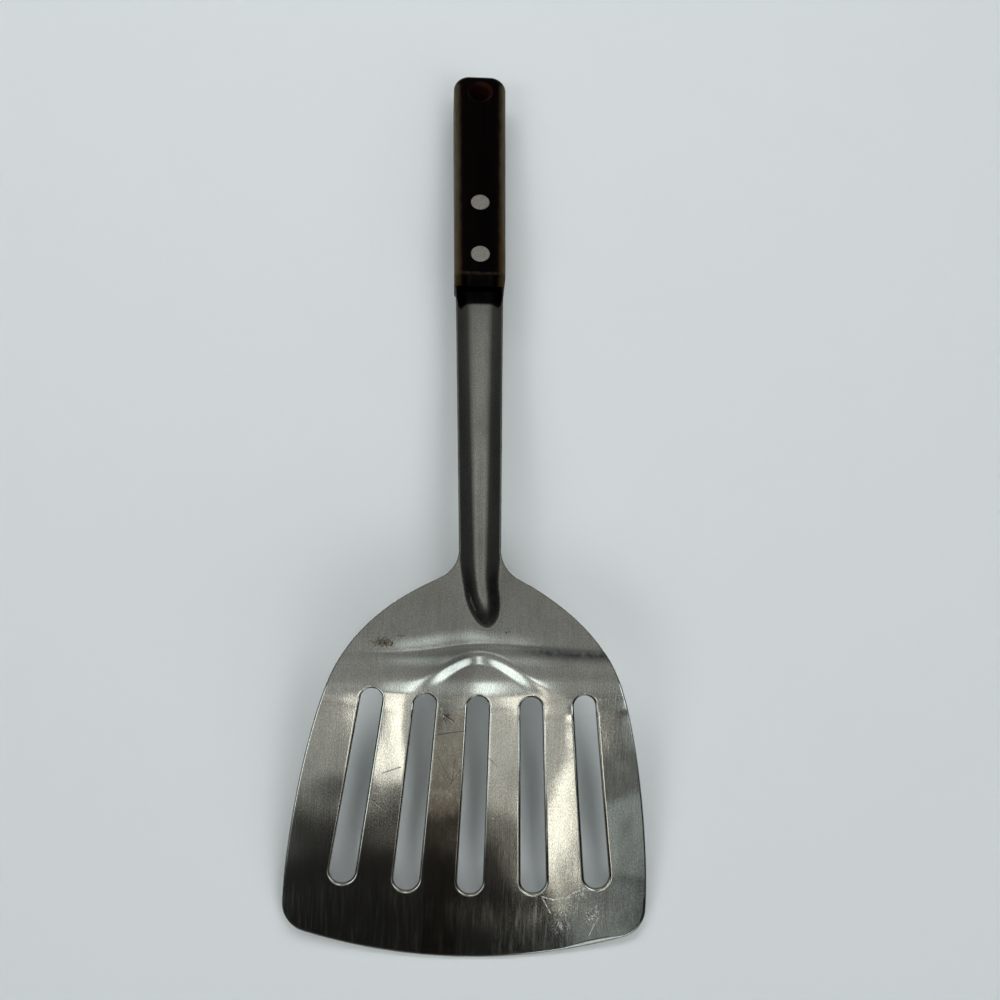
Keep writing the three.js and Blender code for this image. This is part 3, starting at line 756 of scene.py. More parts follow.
class Nodes:
    """A short way to join the nodes of a material, a light or a room."""

    def __init__(self, owner):
        owner.use_nodes = True
        self.tree = owner.node_tree
        self.tree.nodes.clear()

    def node(self, kind, sockets, **settings):
        """A node whose sockets are set to values or joined to other nodes' outputs."""
        node = self.tree.nodes.new("ShaderNode" + kind)
        for key, value in settings.items():
            setattr(node, key, value)
        for key, value in sockets.items():
            if isinstance(value, bpy.types.NodeSocket):
                self.tree.links.new(value, node.inputs[key])
            else:
                node.inputs[key].default_value = value
        return node

    def kept(self, name):
        """Values that a piece keeps at its points."""
        return self.node("Attribute", {}, attribute_name=name)

    def parts(self, places):
        """The three parts of places or directions."""
        return self.node("SeparateXYZ", {0: places}).outputs

    def stretched(self, places, *scale):
        """Places scaled along each axis."""
        return self.node("VectorMath", {0: places, 1: scale}, operation="MULTIPLY").outputs[0]

    def texture(self, places, scale, detail, roughness, distortion=0.0):
        """Soft noise, with a number of swings in each metre along each axis."""
        sockets = {
            "Vector": self.stretched(places, *scale),
            "Scale": 1.0,
            "Detail": detail,
            "Roughness": roughness,
            "Distortion": distortion,
        }
        return self.node("TexNoise", sockets).outputs["Fac"]

    def math(self, operation, *values):
        """Arithmetic on two numbers, or on more of them one after the other."""
        result = values[0]
        for value in values[1:]:
            result = self.node("Math", {0: result, 1: value}, operation=operation).outputs[0]
        return result

    def total(self, *values):
        """The sum of numbers."""
        return self.math("ADD", *values)

    def product(self, *values):
        """The product of numbers."""
        return self.math("MULTIPLY", *values)

    def largest(self, *values):
        """The largest of numbers."""
        return self.math("MAXIMUM", *values)

    def off(self, value, middle):
        """How far a number lies off a middle, on either side."""
        away = self.math("SUBTRACT", value, middle)
        return self.node("Math", {0: away}, operation="ABSOLUTE").outputs[0]

    def ramp(self, value, start, end, low=0.0, high=1.0):
        """Low before start, high after end and a soft rise between."""
        sockets = {"Value": value, "From Min": start, "From Max": end, "To Min": low, "To Max": high}
        return self.node("MapRange", sockets, interpolation_type="SMOOTHSTEP").outputs["Result"]

    def mix(self, kind, share, first, second):
        """Two colours mixed in a kind of way, such as MIX, ADD or MULTIPLY."""
        sockets = {0: share, FIRST_COLOUR: first, SECOND_COLOUR: second}
        return self.node("Mix", sockets, data_type="RGBA", blend_type=kind).outputs[MIXED_COLOUR]

    def blend(self, share, first, second):
        """A share of a second colour in a first one."""
        return self.mix("MIX", share, first, second)

    def over(self, base, share, rgb):
        """A share of one even colour laid over another colour."""
        return self.blend(share, base, opaque(rgb))

    def times(self, colour, factor):
        """A colour made brighter or darker."""
        return self.mix("MULTIPLY", 1.0, colour, factor)

    def distance(self, places, *point):
        """Distance to a point, given in millimetres."""
        middle = tuple(part * MM for part in point)
        return self.node("VectorMath", {0: places, 1: middle}, operation="DISTANCE").outputs["Value"]

    def bump(self, height, distance):
        """Normals of fine relief, whose full height is a distance."""
        return self.node("Bump", {"Height": height, "Distance": distance}).outputs["Normal"]


class Finish(Nodes):
    """The material of a piece."""

    def __init__(self, name):
        self.material = bpy.data.materials.new(name)
        super().__init__(self.material)

    def surface(self, **sockets):
        """Ends the material with its shader."""
        shader = self.node("BsdfPrincipled", {k.replace("_", " "): v for k, v in sockets.items()})
        self.node("OutputMaterial", {"Surface": shader.outputs[0]})
        return self.material


def opaque(rgb):
    """A colour with full cover."""
    return (*rgb, 1.0)


# Scratches in front of the slots, whose glints are painted in a pale colour: start, end and width, in
# millimetres on the flat sheet
SCRATCHES = (
    ((74.3, 25.0), (80.4, 28.6), 0.22),
    ((74.2, 24.6), (75.5, 30.2), 0.2),
    ((75.5, 27.8), (74.1, 35.2), 0.3),
    ((74.6, 32.6), (71.2, 38.6), 0.2),
    ((88.0, 41.2), (80.5, 44.6), 0.1),
)

# Rubbed places beside them, with fine curved scuffs and flecks, whose glints are painted in a pale
# colour: their middles and reaches
RUBBED = (
    ((77.5, 32.5), 6.5),
    ((84.0, 32.0), 5.5),
    ((71.5, 38.0), 5.0),
    ((80.5, 43.0), 7.0),
)

# Dark scratches on the strips between the slots, given in the same way
SCORES = (
    ((21.2, -13.1), (19.5, -2.6), 0.3),
    ((11.6, -11.1), (20.4, -9.5), 0.2),
    ((26.7, -12.2), (36.6, -7.1), 0.2),
    ((31.8, -3.3), (39.3, -8.3), 0.22),
    ((27.6, -5.6), (37.8, -6.5), 0.16),
    ((13.5, -11.4), (17.0, -6.0), 0.3),
    ((34.2, -29.7), (31.7, -23.0), 0.2),
    ((42.9, -32.3), (46.8, -27.6), 0.2),
    ((27.9, 4.9), (31.5, 8.8), 0.16),
    ((40.8, -6.3), (46.7, -10.5), 0.2),
    ((46.1, 13.0), (48.2, 7.2), 0.16),
)

# The large burnt-on spot and how much it is drawn out across the sheet, and small spots beside it:
# their places and radii, in millimetres
BURN_PLACE = (-8.7, -31.0)
BURN_SQUEEZE = 0.4
SPOTS = (
    ((-10.9, -25.4), 0.7),
    ((-8.0, -28.2), 0.6),
    ((-13.4, 9.5), 0.7),
    ((15.0, -9.3), 1.3),
)

# The middle of a place behind the bend that has small pits, in millimetres, and of the strip between
# the second and third slots, which holds the most brown film
PITTED_PLACE = (-26, 1, 0)
STAINED_STRIP = -8.6 * MM

# Textures of the steel: swings in a metre along, across and through it, detail, roughness, distortion
BRUSH_LINES = ((35, 2600, 1), 3.0, 0.6)
FINE_GRAIN = ((1500, 2300, 1), 2.0, 0.6)
MOTTLE = ((260, 420, 1), 4.0, 0.65)
CLOUDS = ((26, 60, 1), 3.0, 0.6)
SPECKLES = ((1300, 1300, 1), 3.0, 0.7)
PITS = ((900, 900, 1), 3.0, 0.7)
STREAKS = ((70, 800, 1), 3.0, 0.6)
SWIRLS = ((330, 420, 1), 2.0, 0.6, 1.2)
PATCHES = ((420, 560, 1), 3.0, 0.6)

# Where marks on the steel start and end, in metres or in the swing of a texture, and their strength
# before and after
LINE_EDGE = 0.4
LINE_END = 0.7
FILM_CLOUDS = (0.6, 1.1, 0.0, 0.65)
FILM_AT_RIM = (0.0, 1.0, 1.0, 0.15)
STRIP_SIDE = (5 * MM, 8 * MM, 1.0, 0.0)
STRIP_START = (9 * MM, 16 * MM)
STRIP_THICKENING = (12 * MM, 50 * MM, 0.72, 1.0)
BROWN_START = (35 * MM, 60 * MM)
BROWN_SIDE = (5 * MM, 30 * MM, 0.7, 0.0)
STAIN_MOTTLE = (0.2, 0.6, 0.6, 1.0)
GRAIN_TONE = (0.3, 0.7, 0.78, 1.09)
BRUSH_TONE = (0.3, 0.7, 0.92, 1.04)
MOTTLE_TONE = (0.3, 0.7, 0.9, 1.05)
PAINTED_SHADE_MOTTLE = (0.25, 0.65, 0.6, 1.15)
BURN_RAGGED = 6 * MM
BURN_EDGE = (0.9 * MM, 1.9 * MM, 0.6, 0.0)
BURN_CORE = (0.0, 0.7 * MM, 0.85, 0.0)
SPOT_CORE = 0.5
SPOT_STRENGTH = 0.8
# Painted shade on the sheet's rims: darkest below the middle of its thickness, where its edge meets its
# shadow on the table
PAINTED_RIM_SHADE = (-0.2 * MM, 0.25 * MM, 0.85, 0.3)
SCORE_STRENGTH = 0.5
SCRATCH_BREAKS = (0.35, 0.62, 0.1, 0.85)
SCRATCH_METAL = (0.0, 1.0, 1.0, 0.3)
SCUFF_LINE = (0.004, 0.03, 1.0, 0.0)
SCUFF_PATCH = (0.4, 0.6, 0.0, 0.6)
FLECKS = (0.42, 0.8, 0.0, 0.25)
RUBBED_CORE = 0.3
PITTED_EDGE = (6 * MM, 13 * MM, 1.0, 0.0)
STREAK_TONE = (0.45, 0.75)
STREAK_START = (62 * MM, 80 * MM)
DULL_HEEL = (5 * MM, 13 * MM, 0.05, 0.0)
DULL_MIDDLE = (22 * MM, 34 * MM, 1.0, 0.0)

# Shares of the mottle in the film, and of each texture in the steel's roughness and in its relief
FILM_MOTTLE = 0.35
BRUSH_ROUGHNESS = 0.06
FILM_ROUGHNESS = 0.03
STREAK_ROUGHNESS = 0.06
SCRATCH_ROUGHNESS = 0.45
BRUSH_RELIEF = 0.25
GRAIN_RELIEF = 0.45
MOTTLE_RELIEF = 0.8
PIT_RELIEF = 6.0
SCORE_RELIEF = -3.0
STEEL_RELIEF = 0.006 * MM


def scratch(finish, places, start, end, width):
    """Mask of one fine straight scratch between two places on the sheet, in millimetres."""
    middle = ((start[0] + end[0]) / 2 * MM, (start[1] + end[1]) / 2 * MM, 0.0)
    direction = atan2(end[1] - start[1], end[0] - start[0])
    half = hypot(end[0] - start[0], end[1] - start[1]) / 2 * MM
    turned_places = finish.node(
        "Mapping",
        {"Vector": places, "Location": middle, "Rotation": (0.0, 0.0, direction)},
        vector_type="TEXTURE",
    )
    parts = finish.parts(turned_places.outputs[0])
    line = finish.ramp(finish.off(parts["Y"], 0.0), width * LINE_EDGE * MM, width * MM, 1.0, 0.0)
    return finish.product(line, finish.ramp(finish.off(parts["X"], 0.0), half * LINE_END, half, 1.0, 0.0))


def marks(finish, places, lines):
    """Mask of several scratches."""
    return finish.largest(*(scratch(finish, places, *line) for line in lines))


def scuffs(finish, places):
    """Mask of fine curved scuffs: the level lines of a texture, broken into short pieces."""
    line = finish.ramp(finish.off(finish.texture(places, *SWIRLS), 0.5), *SCUFF_LINE)
    return finish.product(line, finish.ramp(finish.texture(places, *PATCHES), *SCUFF_PATCH))


def scratches(finish, places, speckle):
    """Mask of the scratches, and of the scuffs and flecks in the rubbed places, which also carries their
    painted glints.
    """
    scratches_and_glints = finish.product(marks(finish, places, SCRATCHES), finish.ramp(speckle, *SCRATCH_BREAKS))
    flecks = finish.largest(scuffs(finish, places), finish.ramp(speckle, *FLECKS))
    for place, reach in RUBBED:
        away = finish.distance(places, *place, 0.0)
        rubbed = finish.ramp(away, reach * RUBBED_CORE * MM, reach * MM, 1.0, 0.0)
        scratches_and_glints = finish.largest(scratches_and_glints, finish.product(rubbed, flecks))
    return scratches_and_glints


def brown_film(finish, places, mottled, rim):
    """How thick the brown film lies: in clouds, on one strip, and towards the front and left."""
    along, across, _ = finish.parts(places)
    clouds = finish.total(finish.product(mottled, FILM_MOTTLE), finish.texture(places, *CLOUDS))
    strip = finish.product(
        finish.ramp(finish.off(across, STAINED_STRIP), *STRIP_SIDE),
        finish.ramp(along, *STRIP_THICKENING),
        finish.ramp(along, *STRIP_START),
    )
    front = finish.product(finish.ramp(along, *BROWN_START), finish.ramp(across, *BROWN_SIDE))
    stained = finish.product(finish.largest(strip, front), finish.ramp(mottled, *STAIN_MOTTLE))
    film = finish.largest(finish.ramp(clouds, *FILM_CLOUDS), stained)
    return finish.product(film, finish.ramp(rim, *FILM_AT_RIM))


def burnt_on(finish, sheet, base, places, speckle):
    """The steel's colour with the ragged burnt-on spots laid over it."""
    ragged = finish.total(finish.product(speckle, BURN_RAGGED), -BURN_RAGGED / 2)
    drawn_out = finish.stretched(places, 1.0, BURN_SQUEEZE, 0.0)
    away = finish.distance(drawn_out, BURN_PLACE[0], BURN_PLACE[1] * BURN_SQUEEZE, 0.0)
    burnt = finish.total(away, ragged)
    base = finish.over(base, finish.ramp(burnt, *BURN_EDGE), sheet.burn_fringe)
    base = finish.over(base, finish.ramp(burnt, *BURN_CORE), sheet.burn)
    for place, radius in SPOTS:
        spot = finish.total(finish.distance(places, *place, 0.0), ragged)
        dark = finish.ramp(spot, radius * SPOT_CORE * MM, radius * MM, SPOT_STRENGTH, 0.0)
        base = finish.over(base, dark, sheet.burn)
    return base


def steel_finish(sheet):
    """Worn steel: brush lines, speckles, brown film, painted shade, scratches with painted glints, pits
    and burnt spots.
    """
    finish = Finish("worn_steel")
    places = finish.kept("flat").outputs["Vector"]
    rim = finish.kept("rim").outputs["Fac"]
    along, across, height = finish.parts(places)
    brushed = finish.texture(places, *BRUSH_LINES)
    grain = finish.texture(places, *FINE_GRAIN)
    mottled = finish.texture(places, *MOTTLE)
    speckle = finish.texture(places, *SPECKLES)
    film = brown_film(finish, places, mottled, rim)
    tone = finish.product(
        finish.ramp(grain, *GRAIN_TONE),
        finish.ramp(brushed, *BRUSH_TONE),
        finish.ramp(mottled, *MOTTLE_TONE),
    )
    base = finish.times(finish.blend(film, opaque(sheet.metal), opaque(sheet.film)), tone)
    # Painted shade: grey laid over the steel in the crease, beside the arch, in front of the handle and
    # on the channel's walls, where dark reflections fall
    painted_shade = finish.product(finish.kept("painted_shade").outputs["Fac"], finish.ramp(mottled, *PAINTED_SHADE_MOTTLE))
    base = finish.over(base, painted_shade, sheet.painted_shade)
    base = burnt_on(finish, sheet, base, places, speckle)
    # Painted shade: the rims darkened, most on their lower half
    base = finish.over(base, finish.product(rim, finish.ramp(height, *PAINTED_RIM_SHADE)), sheet.score_and_rim_shade)
    scored = marks(finish, places, SCORES)
    base = finish.over(base, finish.product(scored, SCORE_STRENGTH), sheet.score_and_rim_shade)
    # Painted glints: the scratches, scuffs and flecks are laid over in a pale colour, with less metal
    scratches_and_glints = scratches(finish, places, speckle)
    base = finish.over(base, scratches_and_glints, sheet.bright)
    pitted = finish.ramp(finish.distance(places, *PITTED_PLACE), *PITTED_EDGE)
    pits = finish.product(pitted, finish.texture(places, *PITS))
    streaks = finish.ramp(finish.texture(places, *STREAKS), *STREAK_TONE)
    streaks = finish.product(streaks, finish.ramp(along, *STREAK_START))
    at_heel = finish.ramp(finish.off(along, 0.0), *DULL_HEEL)
    rough = finish.total(
        finish.product(brushed, BRUSH_ROUGHNESS),
        sheet.gloss - BRUSH_ROUGHNESS / 2,
        finish.product(film, FILM_ROUGHNESS),
        finish.product(streaks, STREAK_ROUGHNESS),
        finish.product(at_heel, finish.ramp(finish.off(across, 0.0), *DULL_MIDDLE)),
        finish.product(scratches_and_glints, SCRATCH_ROUGHNESS),
    )
    relief = finish.total(
        finish.product(brushed, BRUSH_RELIEF),
        finish.product(grain, GRAIN_RELIEF),
        finish.product(mottled, MOTTLE_RELIEF),
        finish.product(pits, PIT_RELIEF),
        finish.product(scored, SCORE_RELIEF),
    )
    return finish.surface(
        Base_Color=base,
        Metallic=finish.ramp(scratches_and_glints, *SCRATCH_METAL),
        Roughness=rough,
        Normal=finish.bump(relief, STEEL_RELIEF),
    )


# Textures of the wood: swings in a metre across, along and through it, detail, roughness, distortion
FIBRE = ((1300, 45, 1300), 4.0, 0.65)
GRAIN_BANDS = ((260, 9, 260), 3.0, 0.55, 0.4)
BLOTCHES = ((500, 160, 500), 3.0, 0.6)

# Where the looks of the wood start and end, and their strength before and after
FIBRE_SHARE = 0.5
RED_GRAIN = (0.42, 0.66)
EDGE_BLOTCH = 0.5
FRINGE_EDGE = (-0.25, 0.05)
PALE_EDGE = (0.0, 0.3)
WORN_EDGE = (0.1, 0.85)
FIBRE_TONE = (0.3, 0.7, 1.15, 0.7)
BROWNING_END = (2 * MM, 45 * MM, 1.0, 0.0)
BROW_PLACE = (0, 0.2, -0.2)  # a worn line along the front face's upper edge, in millimetres
BROW_EDGE = (0.3 * MM, 0.9 * MM, 0.8, 0.0)
BROW_BLOTCH = (0.3, 0.65)
RAW_EDGE = (-0.2 * MM, 0.3 * MM)  # from the rim of the hang hole's mouth
# Painted light: the raw wood in the hole's mouth is laid on strongest at its right side, where light
# falls into it
RAW_PAINTED_LIGHT_SIDE = (-3 * MM, 4 * MM, 0.25, 0.9)
WOOD_ROUGHNESS = (0.3, 0.7, 0.28, 0.42)
WOOD_SHINE = 0.05
BAND_RELIEF = 0.6
WOOD_RELIEF = 0.03 * MM


def wood_finish(handle):
    """Dark close-grained wood, sealed and rubbed, with edges worn down to a lighter brown."""
    finish = Finish("dark_wood")
    places = finish.kept("grain").outputs["Vector"]
    across, along, _ = finish.parts(places)
    fibre = finish.texture(places, *FIBRE)
    bands = finish.texture(places, *GRAIN_BANDS)
    blotch = finish.texture(places, *BLOTCHES)
    grain = finish.total(finish.product(fibre, FIBRE_SHARE), finish.product(bands, 1 - FIBRE_SHARE))
    wood = finish.blend(finish.ramp(grain, *RED_GRAIN), opaque(handle.dark), opaque(handle.red))
    blotched = finish.total(finish.product(blotch, EDGE_BLOTCH), -EDGE_BLOTCH / 2)
    edge = finish.total(finish.kept("edge").outputs["Fac"], blotched)
    wood = finish.over(wood, finish.ramp(edge, *FRINGE_EDGE), handle.fringe)
    pale = finish.blend(finish.ramp(edge, *WORN_EDGE), opaque(handle.rubbed), opaque(handle.worn))
    pale = finish.times(pale, finish.ramp(fibre, *FIBRE_TONE))
    browned = finish.over(opaque((1, 1, 1)), finish.ramp(along, *BROWNING_END), handle.browning)
    wood = finish.blend(finish.ramp(edge, *PALE_EDGE), wood, finish.times(pale, browned))
    to_brow = finish.distance(finish.stretched(places, 0, 1, 1), *BROW_PLACE)
    brow = finish.product(finish.ramp(to_brow, *BROW_EDGE), finish.ramp(blotch, *BROW_BLOTCH))
    wood = finish.over(wood, brow, handle.rubbed)
    hole_place = (handle.length - handle.hole_inset) / MM
    to_hole = finish.distance(finish.stretched(places, 1, 1, 0), 0, hole_place, 0)
    mouth = handle.hole_diameter / 2 + handle.hole_countersink
    raw = finish.ramp(to_hole, mouth + RAW_EDGE[0], mouth + RAW_EDGE[1], 1.0, 0.0)
    # The raw wood in the hang hole's mouth, with painted light on its right side
    wood = finish.over(wood, finish.product(raw, finish.ramp(across, *RAW_PAINTED_LIGHT_SIDE)), handle.raw)
    relief = finish.total(fibre, finish.product(bands, BAND_RELIEF))
    return finish.surface(
        Base_Color=wood,
        Roughness=finish.ramp(fibre, *WOOD_ROUGHNESS),
        Specular_IOR_Level=WOOD_SHINE,
        Normal=finish.bump(relief, WOOD_RELIEF),
    )


# Textures of the rivets and where their looks start and end
RIVET_SPECKLES = ((2600, 2600, 2600), 3.0, 0.7)
RIVET_CLOUDS = ((500, 500, 500), 2.0, 0.5)
RIVET_DULLNESS = 0.42
RIVET_TONE = (0.33, 0.6)
RIVET_METALLIC = 0.35
RIVET_ROUGHNESS = (0.3, 0.7, 0.42, 0.6)
RIVET_RELIEF = 0.02 * MM


def rivet_finish(rivets):
    """Soft satin metal, ground flush with the wood and speckled with small dents."""
    finish = Finish("satin_rivet")
    places = finish.node("TexCoord", {}).outputs["Object"]
    speckle = finish.texture(places, *RIVET_SPECKLES)
    dull = [part * RIVET_DULLNESS for part in rivets.metal]
    return finish.surface(
        Base_Color=finish.blend(finish.ramp(speckle, *RIVET_TONE), opaque(dull), opaque(rivets.metal)),
        Metallic=RIVET_METALLIC,
        Roughness=finish.ramp(finish.texture(places, *RIVET_CLOUDS), *RIVET_ROUGHNESS),
        Normal=finish.bump(speckle, RIVET_RELIEF),
    )


# Steps along the edges of the meshes, and the room that their inner points leave to the edges
OUTLINE_STEP = 0.8 * MM
SLOT_STEP = 0.6 * MM
SHEET_MARGIN = 0.5 * MM
HANDLE_STEP = 0.7 * MM
HANDLE_MARGIN = 1.2 * MM
HANDLE_GRID = 2.5 * MM

# Inner points of the sheet: steps along and across its tang, shank, heel and front part, the width
# that they cover on each side of tang and shank, and the end of the heel
TANG_STEPS = (4 * MM, 3 * MM)
SHANK_STEPS = (1.5 * MM, 0.8 * MM)
HEEL_STEPS = (0.8 * MM, 0.9 * MM)
FRONT_STEPS = (1.5 * MM, 1.6 * MM)
SHANK_REACH = 12 * MM
HEEL_END = 25 * MM

# Points of the sheet below this share of half its thickness belong to its rim
RIM_SHARE = 0.999

# The handle's flat faces start this far inside its rounded edges: at the sides and at the front
SIDE_BORDER = 0.4 * MM
FRONT_BORDER = 0.3 * MM

# Rounding of the hang hole's mouth and of its foot: outward and downward, as shares of a softening
MOUTH_SOFTENING = 0.3 * MM
MOUTH_ROUNDING = ((1.0, 0.0), (0.3, 0.15), (-0.5, 0.6))
FOOT_ROUNDING = ((0.4, -0.4), (0.0, 0.5))

# How far down the sides the wood is worn, in widths of the rounded edge: at the front and elsewhere
WORN_DOWN_FRONT = 4
WORN_DOWN = 1

# Taken off the wear where the wood isn't worn at all
UNWORN = 2

# Points round the handle's long edges, across its groove and round a hole in the tang
LONG_EDGE_POINTS = 11
GROOVE_POINTS = 41
TANG_HOLE_POINTS = 24

# The cuts start this many radii of the front edge before the handle
CUT_RUN_IN = 4

# Faces that meet at more than these angles have a sharp edge between them
SHARP_WOOD = radians(40)
SHARP_METAL = radians(50)


def round_hole(centre, radius, steps=48):
    """A round line that runs clockwise, as the openings of a plate do."""
    return arc(centre, radius, 2 * pi, 0, steps)[:-1]


class SPATULA_OT_sheet(bpy.types.Operator):
    """Makes the blade, shank and tang: one pressed sheet with its slots and rolled edges"""

    bl_idname = "spatula.sheet"
    bl_label = "Blade and shank"

    def execute(self, context):
        sheet = context.scene.spatula_sheet
        handle = context.scene.spatula_handle
        rivets = context.scene.spatula_rivets
        form = SheetForm(sheet, handle)
        half = sheet.thickness / 2
        edges = [self.outer_edge(form, half)]
        rolled = rounded_edge(half, sheet.slot_edge_width, sheet.slot_edge_depth)
        first = -(sheet.slot_count - 1) / 2
        for number in range(sheet.slot_count):
            edges.append(profiled(form.slot(first + number, SLOT_STEP), rolled))
        for setback in rivet_setbacks(rivets):
            place = (-sheet.shank_length - setback, 0)
            hole = round_hole(place, rivets.tube / 2 + rivets.fit, TANG_HOLE_POINTS)
            edges.append([(hole, half), (hole, -half)])
        flats, heights, faces = plate(edges, on_plate(self.inner_points(sheet), edges, SHEET_MARGIN))
        piece = new_piece("sheet", form.place(flats, heights), faces)
        note(piece, "flat", np.column_stack((flats, heights)))
        # Keeps the mask of the painted shade at each point
        note(piece, "painted_shade", form.painted_shade(flats))
        note(piece, "rim", (np.abs(heights) < half * RIM_SHARE).astype(float))
        settle(piece, lying_matrix(sheet, handle), steel_finish(sheet), SHEET_NODE)
        return {"FINISHED"}

    def outer_edge(self, form, half):
        """Rings of the sheet's outer edge, which is wider where the front edge is worn."""
        sheet = form.sheet
        outline = form.outline(OUTLINE_STEP)
        along, across = outline.T
        worn = bell(across, sheet.wear_place, sheet.wear_reach)
        worn = np.maximum(worn, sheet.wear_elsewhere) * (along > sheet.slot_front)
        widening = 1 + worn * (sheet.wear_width / sheet.edge_width - 1)
        return profiled(outline, rounded_edge(half, sheet.edge_width, sheet.edge_depth), widening)

    def inner_points(self, sheet):
        """Points all over the sheet, closest together where it is pressed most."""
        tang_end = -sheet.shank_length - sheet.tang_length
        channel_start = -sheet.shank_length - sheet.channel_run_in
        half_width = sheet.blade_width / 2
        return np.vstack(
            (
                grid(tang_end, channel_start, *TANG_STEPS, SHANK_REACH),
                grid(channel_start, -sheet.neck, *SHANK_STEPS, SHANK_REACH),
                grid(-sheet.neck, HEEL_END, *HEEL_STEPS, half_width),
                grid(HEEL_END, sheet.blade_length, *FRONT_STEPS, half_width),
            )
        )


class SPATULA_OT_handle(bpy.types.Operator):
    """Makes the wooden handle with its saw cut, the stepped rivet bores and the hang hole"""

    bl_idname = "spatula.handle"
    bl_label = "Handle"

    def execute(self, context):
        sheet = context.scene.spatula_sheet
        handle = context.scene.spatula_handle
        rivets = context.scene.spatula_rivets
        front = handle_front(sheet)
        edges = [self.long_edges(handle, front)]
        for setback in rivet_setbacks(rivets):
            edges.append(self.rivet_bore(handle, rivets, (0, front + setback)))
        edges.append(self.hang_hole(handle, (0, front + handle.length - handle.hole_inset)))
        half_width = handle.width_front / 2
        inner = grid(-half_width, half_width, HANDLE_GRID, HANDLE_GRID, handle.length / 2)
        inner += (0, front + handle.length / 2)
        flats, heights, faces = plate(edges, on_plate(inner, edges, HANDLE_MARGIN))
        piece = new_piece("wooden_handle", np.column_stack((flats, heights)), faces)
        self.open_front(piece, sheet, handle, front)
        piece.data.set_sharp_from_angle(angle=SHARP_WOOD)
        points = np.empty(len(piece.data.vertices) * 3)
        piece.data.vertices.foreach_get("co", points)
        points = points.reshape(-1, 3)
        note(piece, "grain", points - (0, front, handle.thickness / 2))
        note(piece, "edge", self.wear(points, handle, front))
        settle(piece, lying_matrix(sheet, handle), wood_finish(handle), HANDLE_NODE)
        return {"FINISHED"}

    def long_edges(self, handle, front):
        """Rings of the handle's outline, rounded at the sides and nearly sharp at the front."""
        half = handle.thickness / 2
        rear = front + handle.length
        front_half = handle.width_front / 2
        rear_half = handle.width_rear / 2
        edge = handle.edge
        small = handle.front_edge
        corner = handle.corner
        loop = np.vstack(
            (
                arc((-front_half + small, front + small), small, pi, 1.5 * pi),
                arc((front_half - small, front + small), small, 1.5 * pi, 2 * pi),
                arc((rear_half - corner, rear - corner), corner, 0, pi / 2),
                arc((-rear_half + corner, rear - corner), corner, pi / 2, pi),
            )
        )
        loop = even_loop(loop, HANDLE_STEP)
        at_front = 1 - np.clip((loop[:, 1] - front) / edge, 0, 1)
        inward = left_normals(loop)
        facing = loop[:, 1] < front + small
        inward[facing] = np.column_stack((-loop[facing, 0] / front_half, np.zeros(facing.sum())))
        backward = np.column_stack((np.zeros(len(loop)), at_front))
        rings = [(loop + inward * (edge + SIDE_BORDER) + backward * (small + FRONT_BORDER), half)]
        for turn in np.linspace(0, pi / 2, LONG_EDGE_POINTS):
            drop = edge * (1 - cos(turn))
            below = max(small - drop, 0)
            setback = small - sqrt(small**2 - below**2)
            rings.append((loop + inward * (edge * (1 - sin(turn))) + backward * setback, half - drop))
        return both_faces(rings)

    def rivet_bore(self, handle, rivets, place):
        """Rings of a stepped bore: wide for the two heads, narrow for the tube between them."""
        half = handle.thickness / 2
        seat = half - rivets.head_thickness
        wide = round_hole(place, rivets.head / 2 + rivets.fit)
        narrow = round_hole(place, rivets.tube / 2 + rivets.fit)
        return both_faces([(wide, half), (wide, seat), (narrow, seat)])

    def hang_hole(self, handle, place):
        """Rings of the hang hole, with a sloping and softened mouth on each face."""
        half = handle.thickness / 2
        hole = handle.hole_diameter / 2
        soft = MOUTH_SOFTENING
        mouth = hole + handle.hole_countersink
        foot = half - handle.hole_countersink
        way = [(mouth + out * soft, half - down * soft) for out, down in MOUTH_ROUNDING]
        way += [(hole + out * soft, foot - down * soft) for out, down in FOOT_ROUNDING]
        return both_faces([(round_hole(place, radius), height) for radius, height in way])

    def open_front(self, piece, sheet, handle, front):
        """Saws the handle open for the tang, and grooves the cut for the channel."""
        clear = sheet.thickness / 2 + handle.saw_clearance
        wide = handle.width_rear
        before = front - CUT_RUN_IN * handle.front_edge
        saw = [(-wide, -clear), (wide, -clear), (wide, clear), (-wide, clear)]
        self.cut(piece, saw, before, front + sheet.tang_length + handle.saw_clearance)
        groove = self.groove_section(SheetForm(sheet, handle), clear)
        self.cut(piece, groove, before, front + sheet.channel_run_in + handle.saw_clearance)

    def wear(self, points, handle, front):
        """How worn the wood is: most along the upper edges, and not at the rear corners."""
        across, along, height = points.T
        edge = handle.edge
        rear = front + handle.length
        front_half = handle.width_front / 2
        half_width = front_half + (along - front) / handle.length * (handle.width_rear / 2 - front_half)
        worn = 1 - np.clip((half_width - np.abs(across)) / edge, 0, UNWORN)
        worn -= UNWORN * smooth(along, rear - handle.corner, rear)
        past_front = smooth(along, front + edge / 2, front + 2 * edge)
        lower = edge * (WORN_DOWN_FRONT + (WORN_DOWN - WORN_DOWN_FRONT) * past_front)
        return worn - UNWORN * smooth(handle.thickness / 2 - height, lower, lower + edge)

    def groove_section(self, form, clear):
        """Section of the groove that clears the underside of the channel."""
        half = form.shank_width / 2
        across = np.linspace(-half, half, GROOVE_POINTS)
        along = np.full(len(across), -form.sheet.shank_length)
        depth = form.channel(along, across)
        slope = np.gradient(depth, across)
        offset = clear / np.hypot(1, slope)
        under = np.column_stack((across - slope * offset, -depth - offset))
        return [*under.tolist(), (half, 0), (-half, 0)]

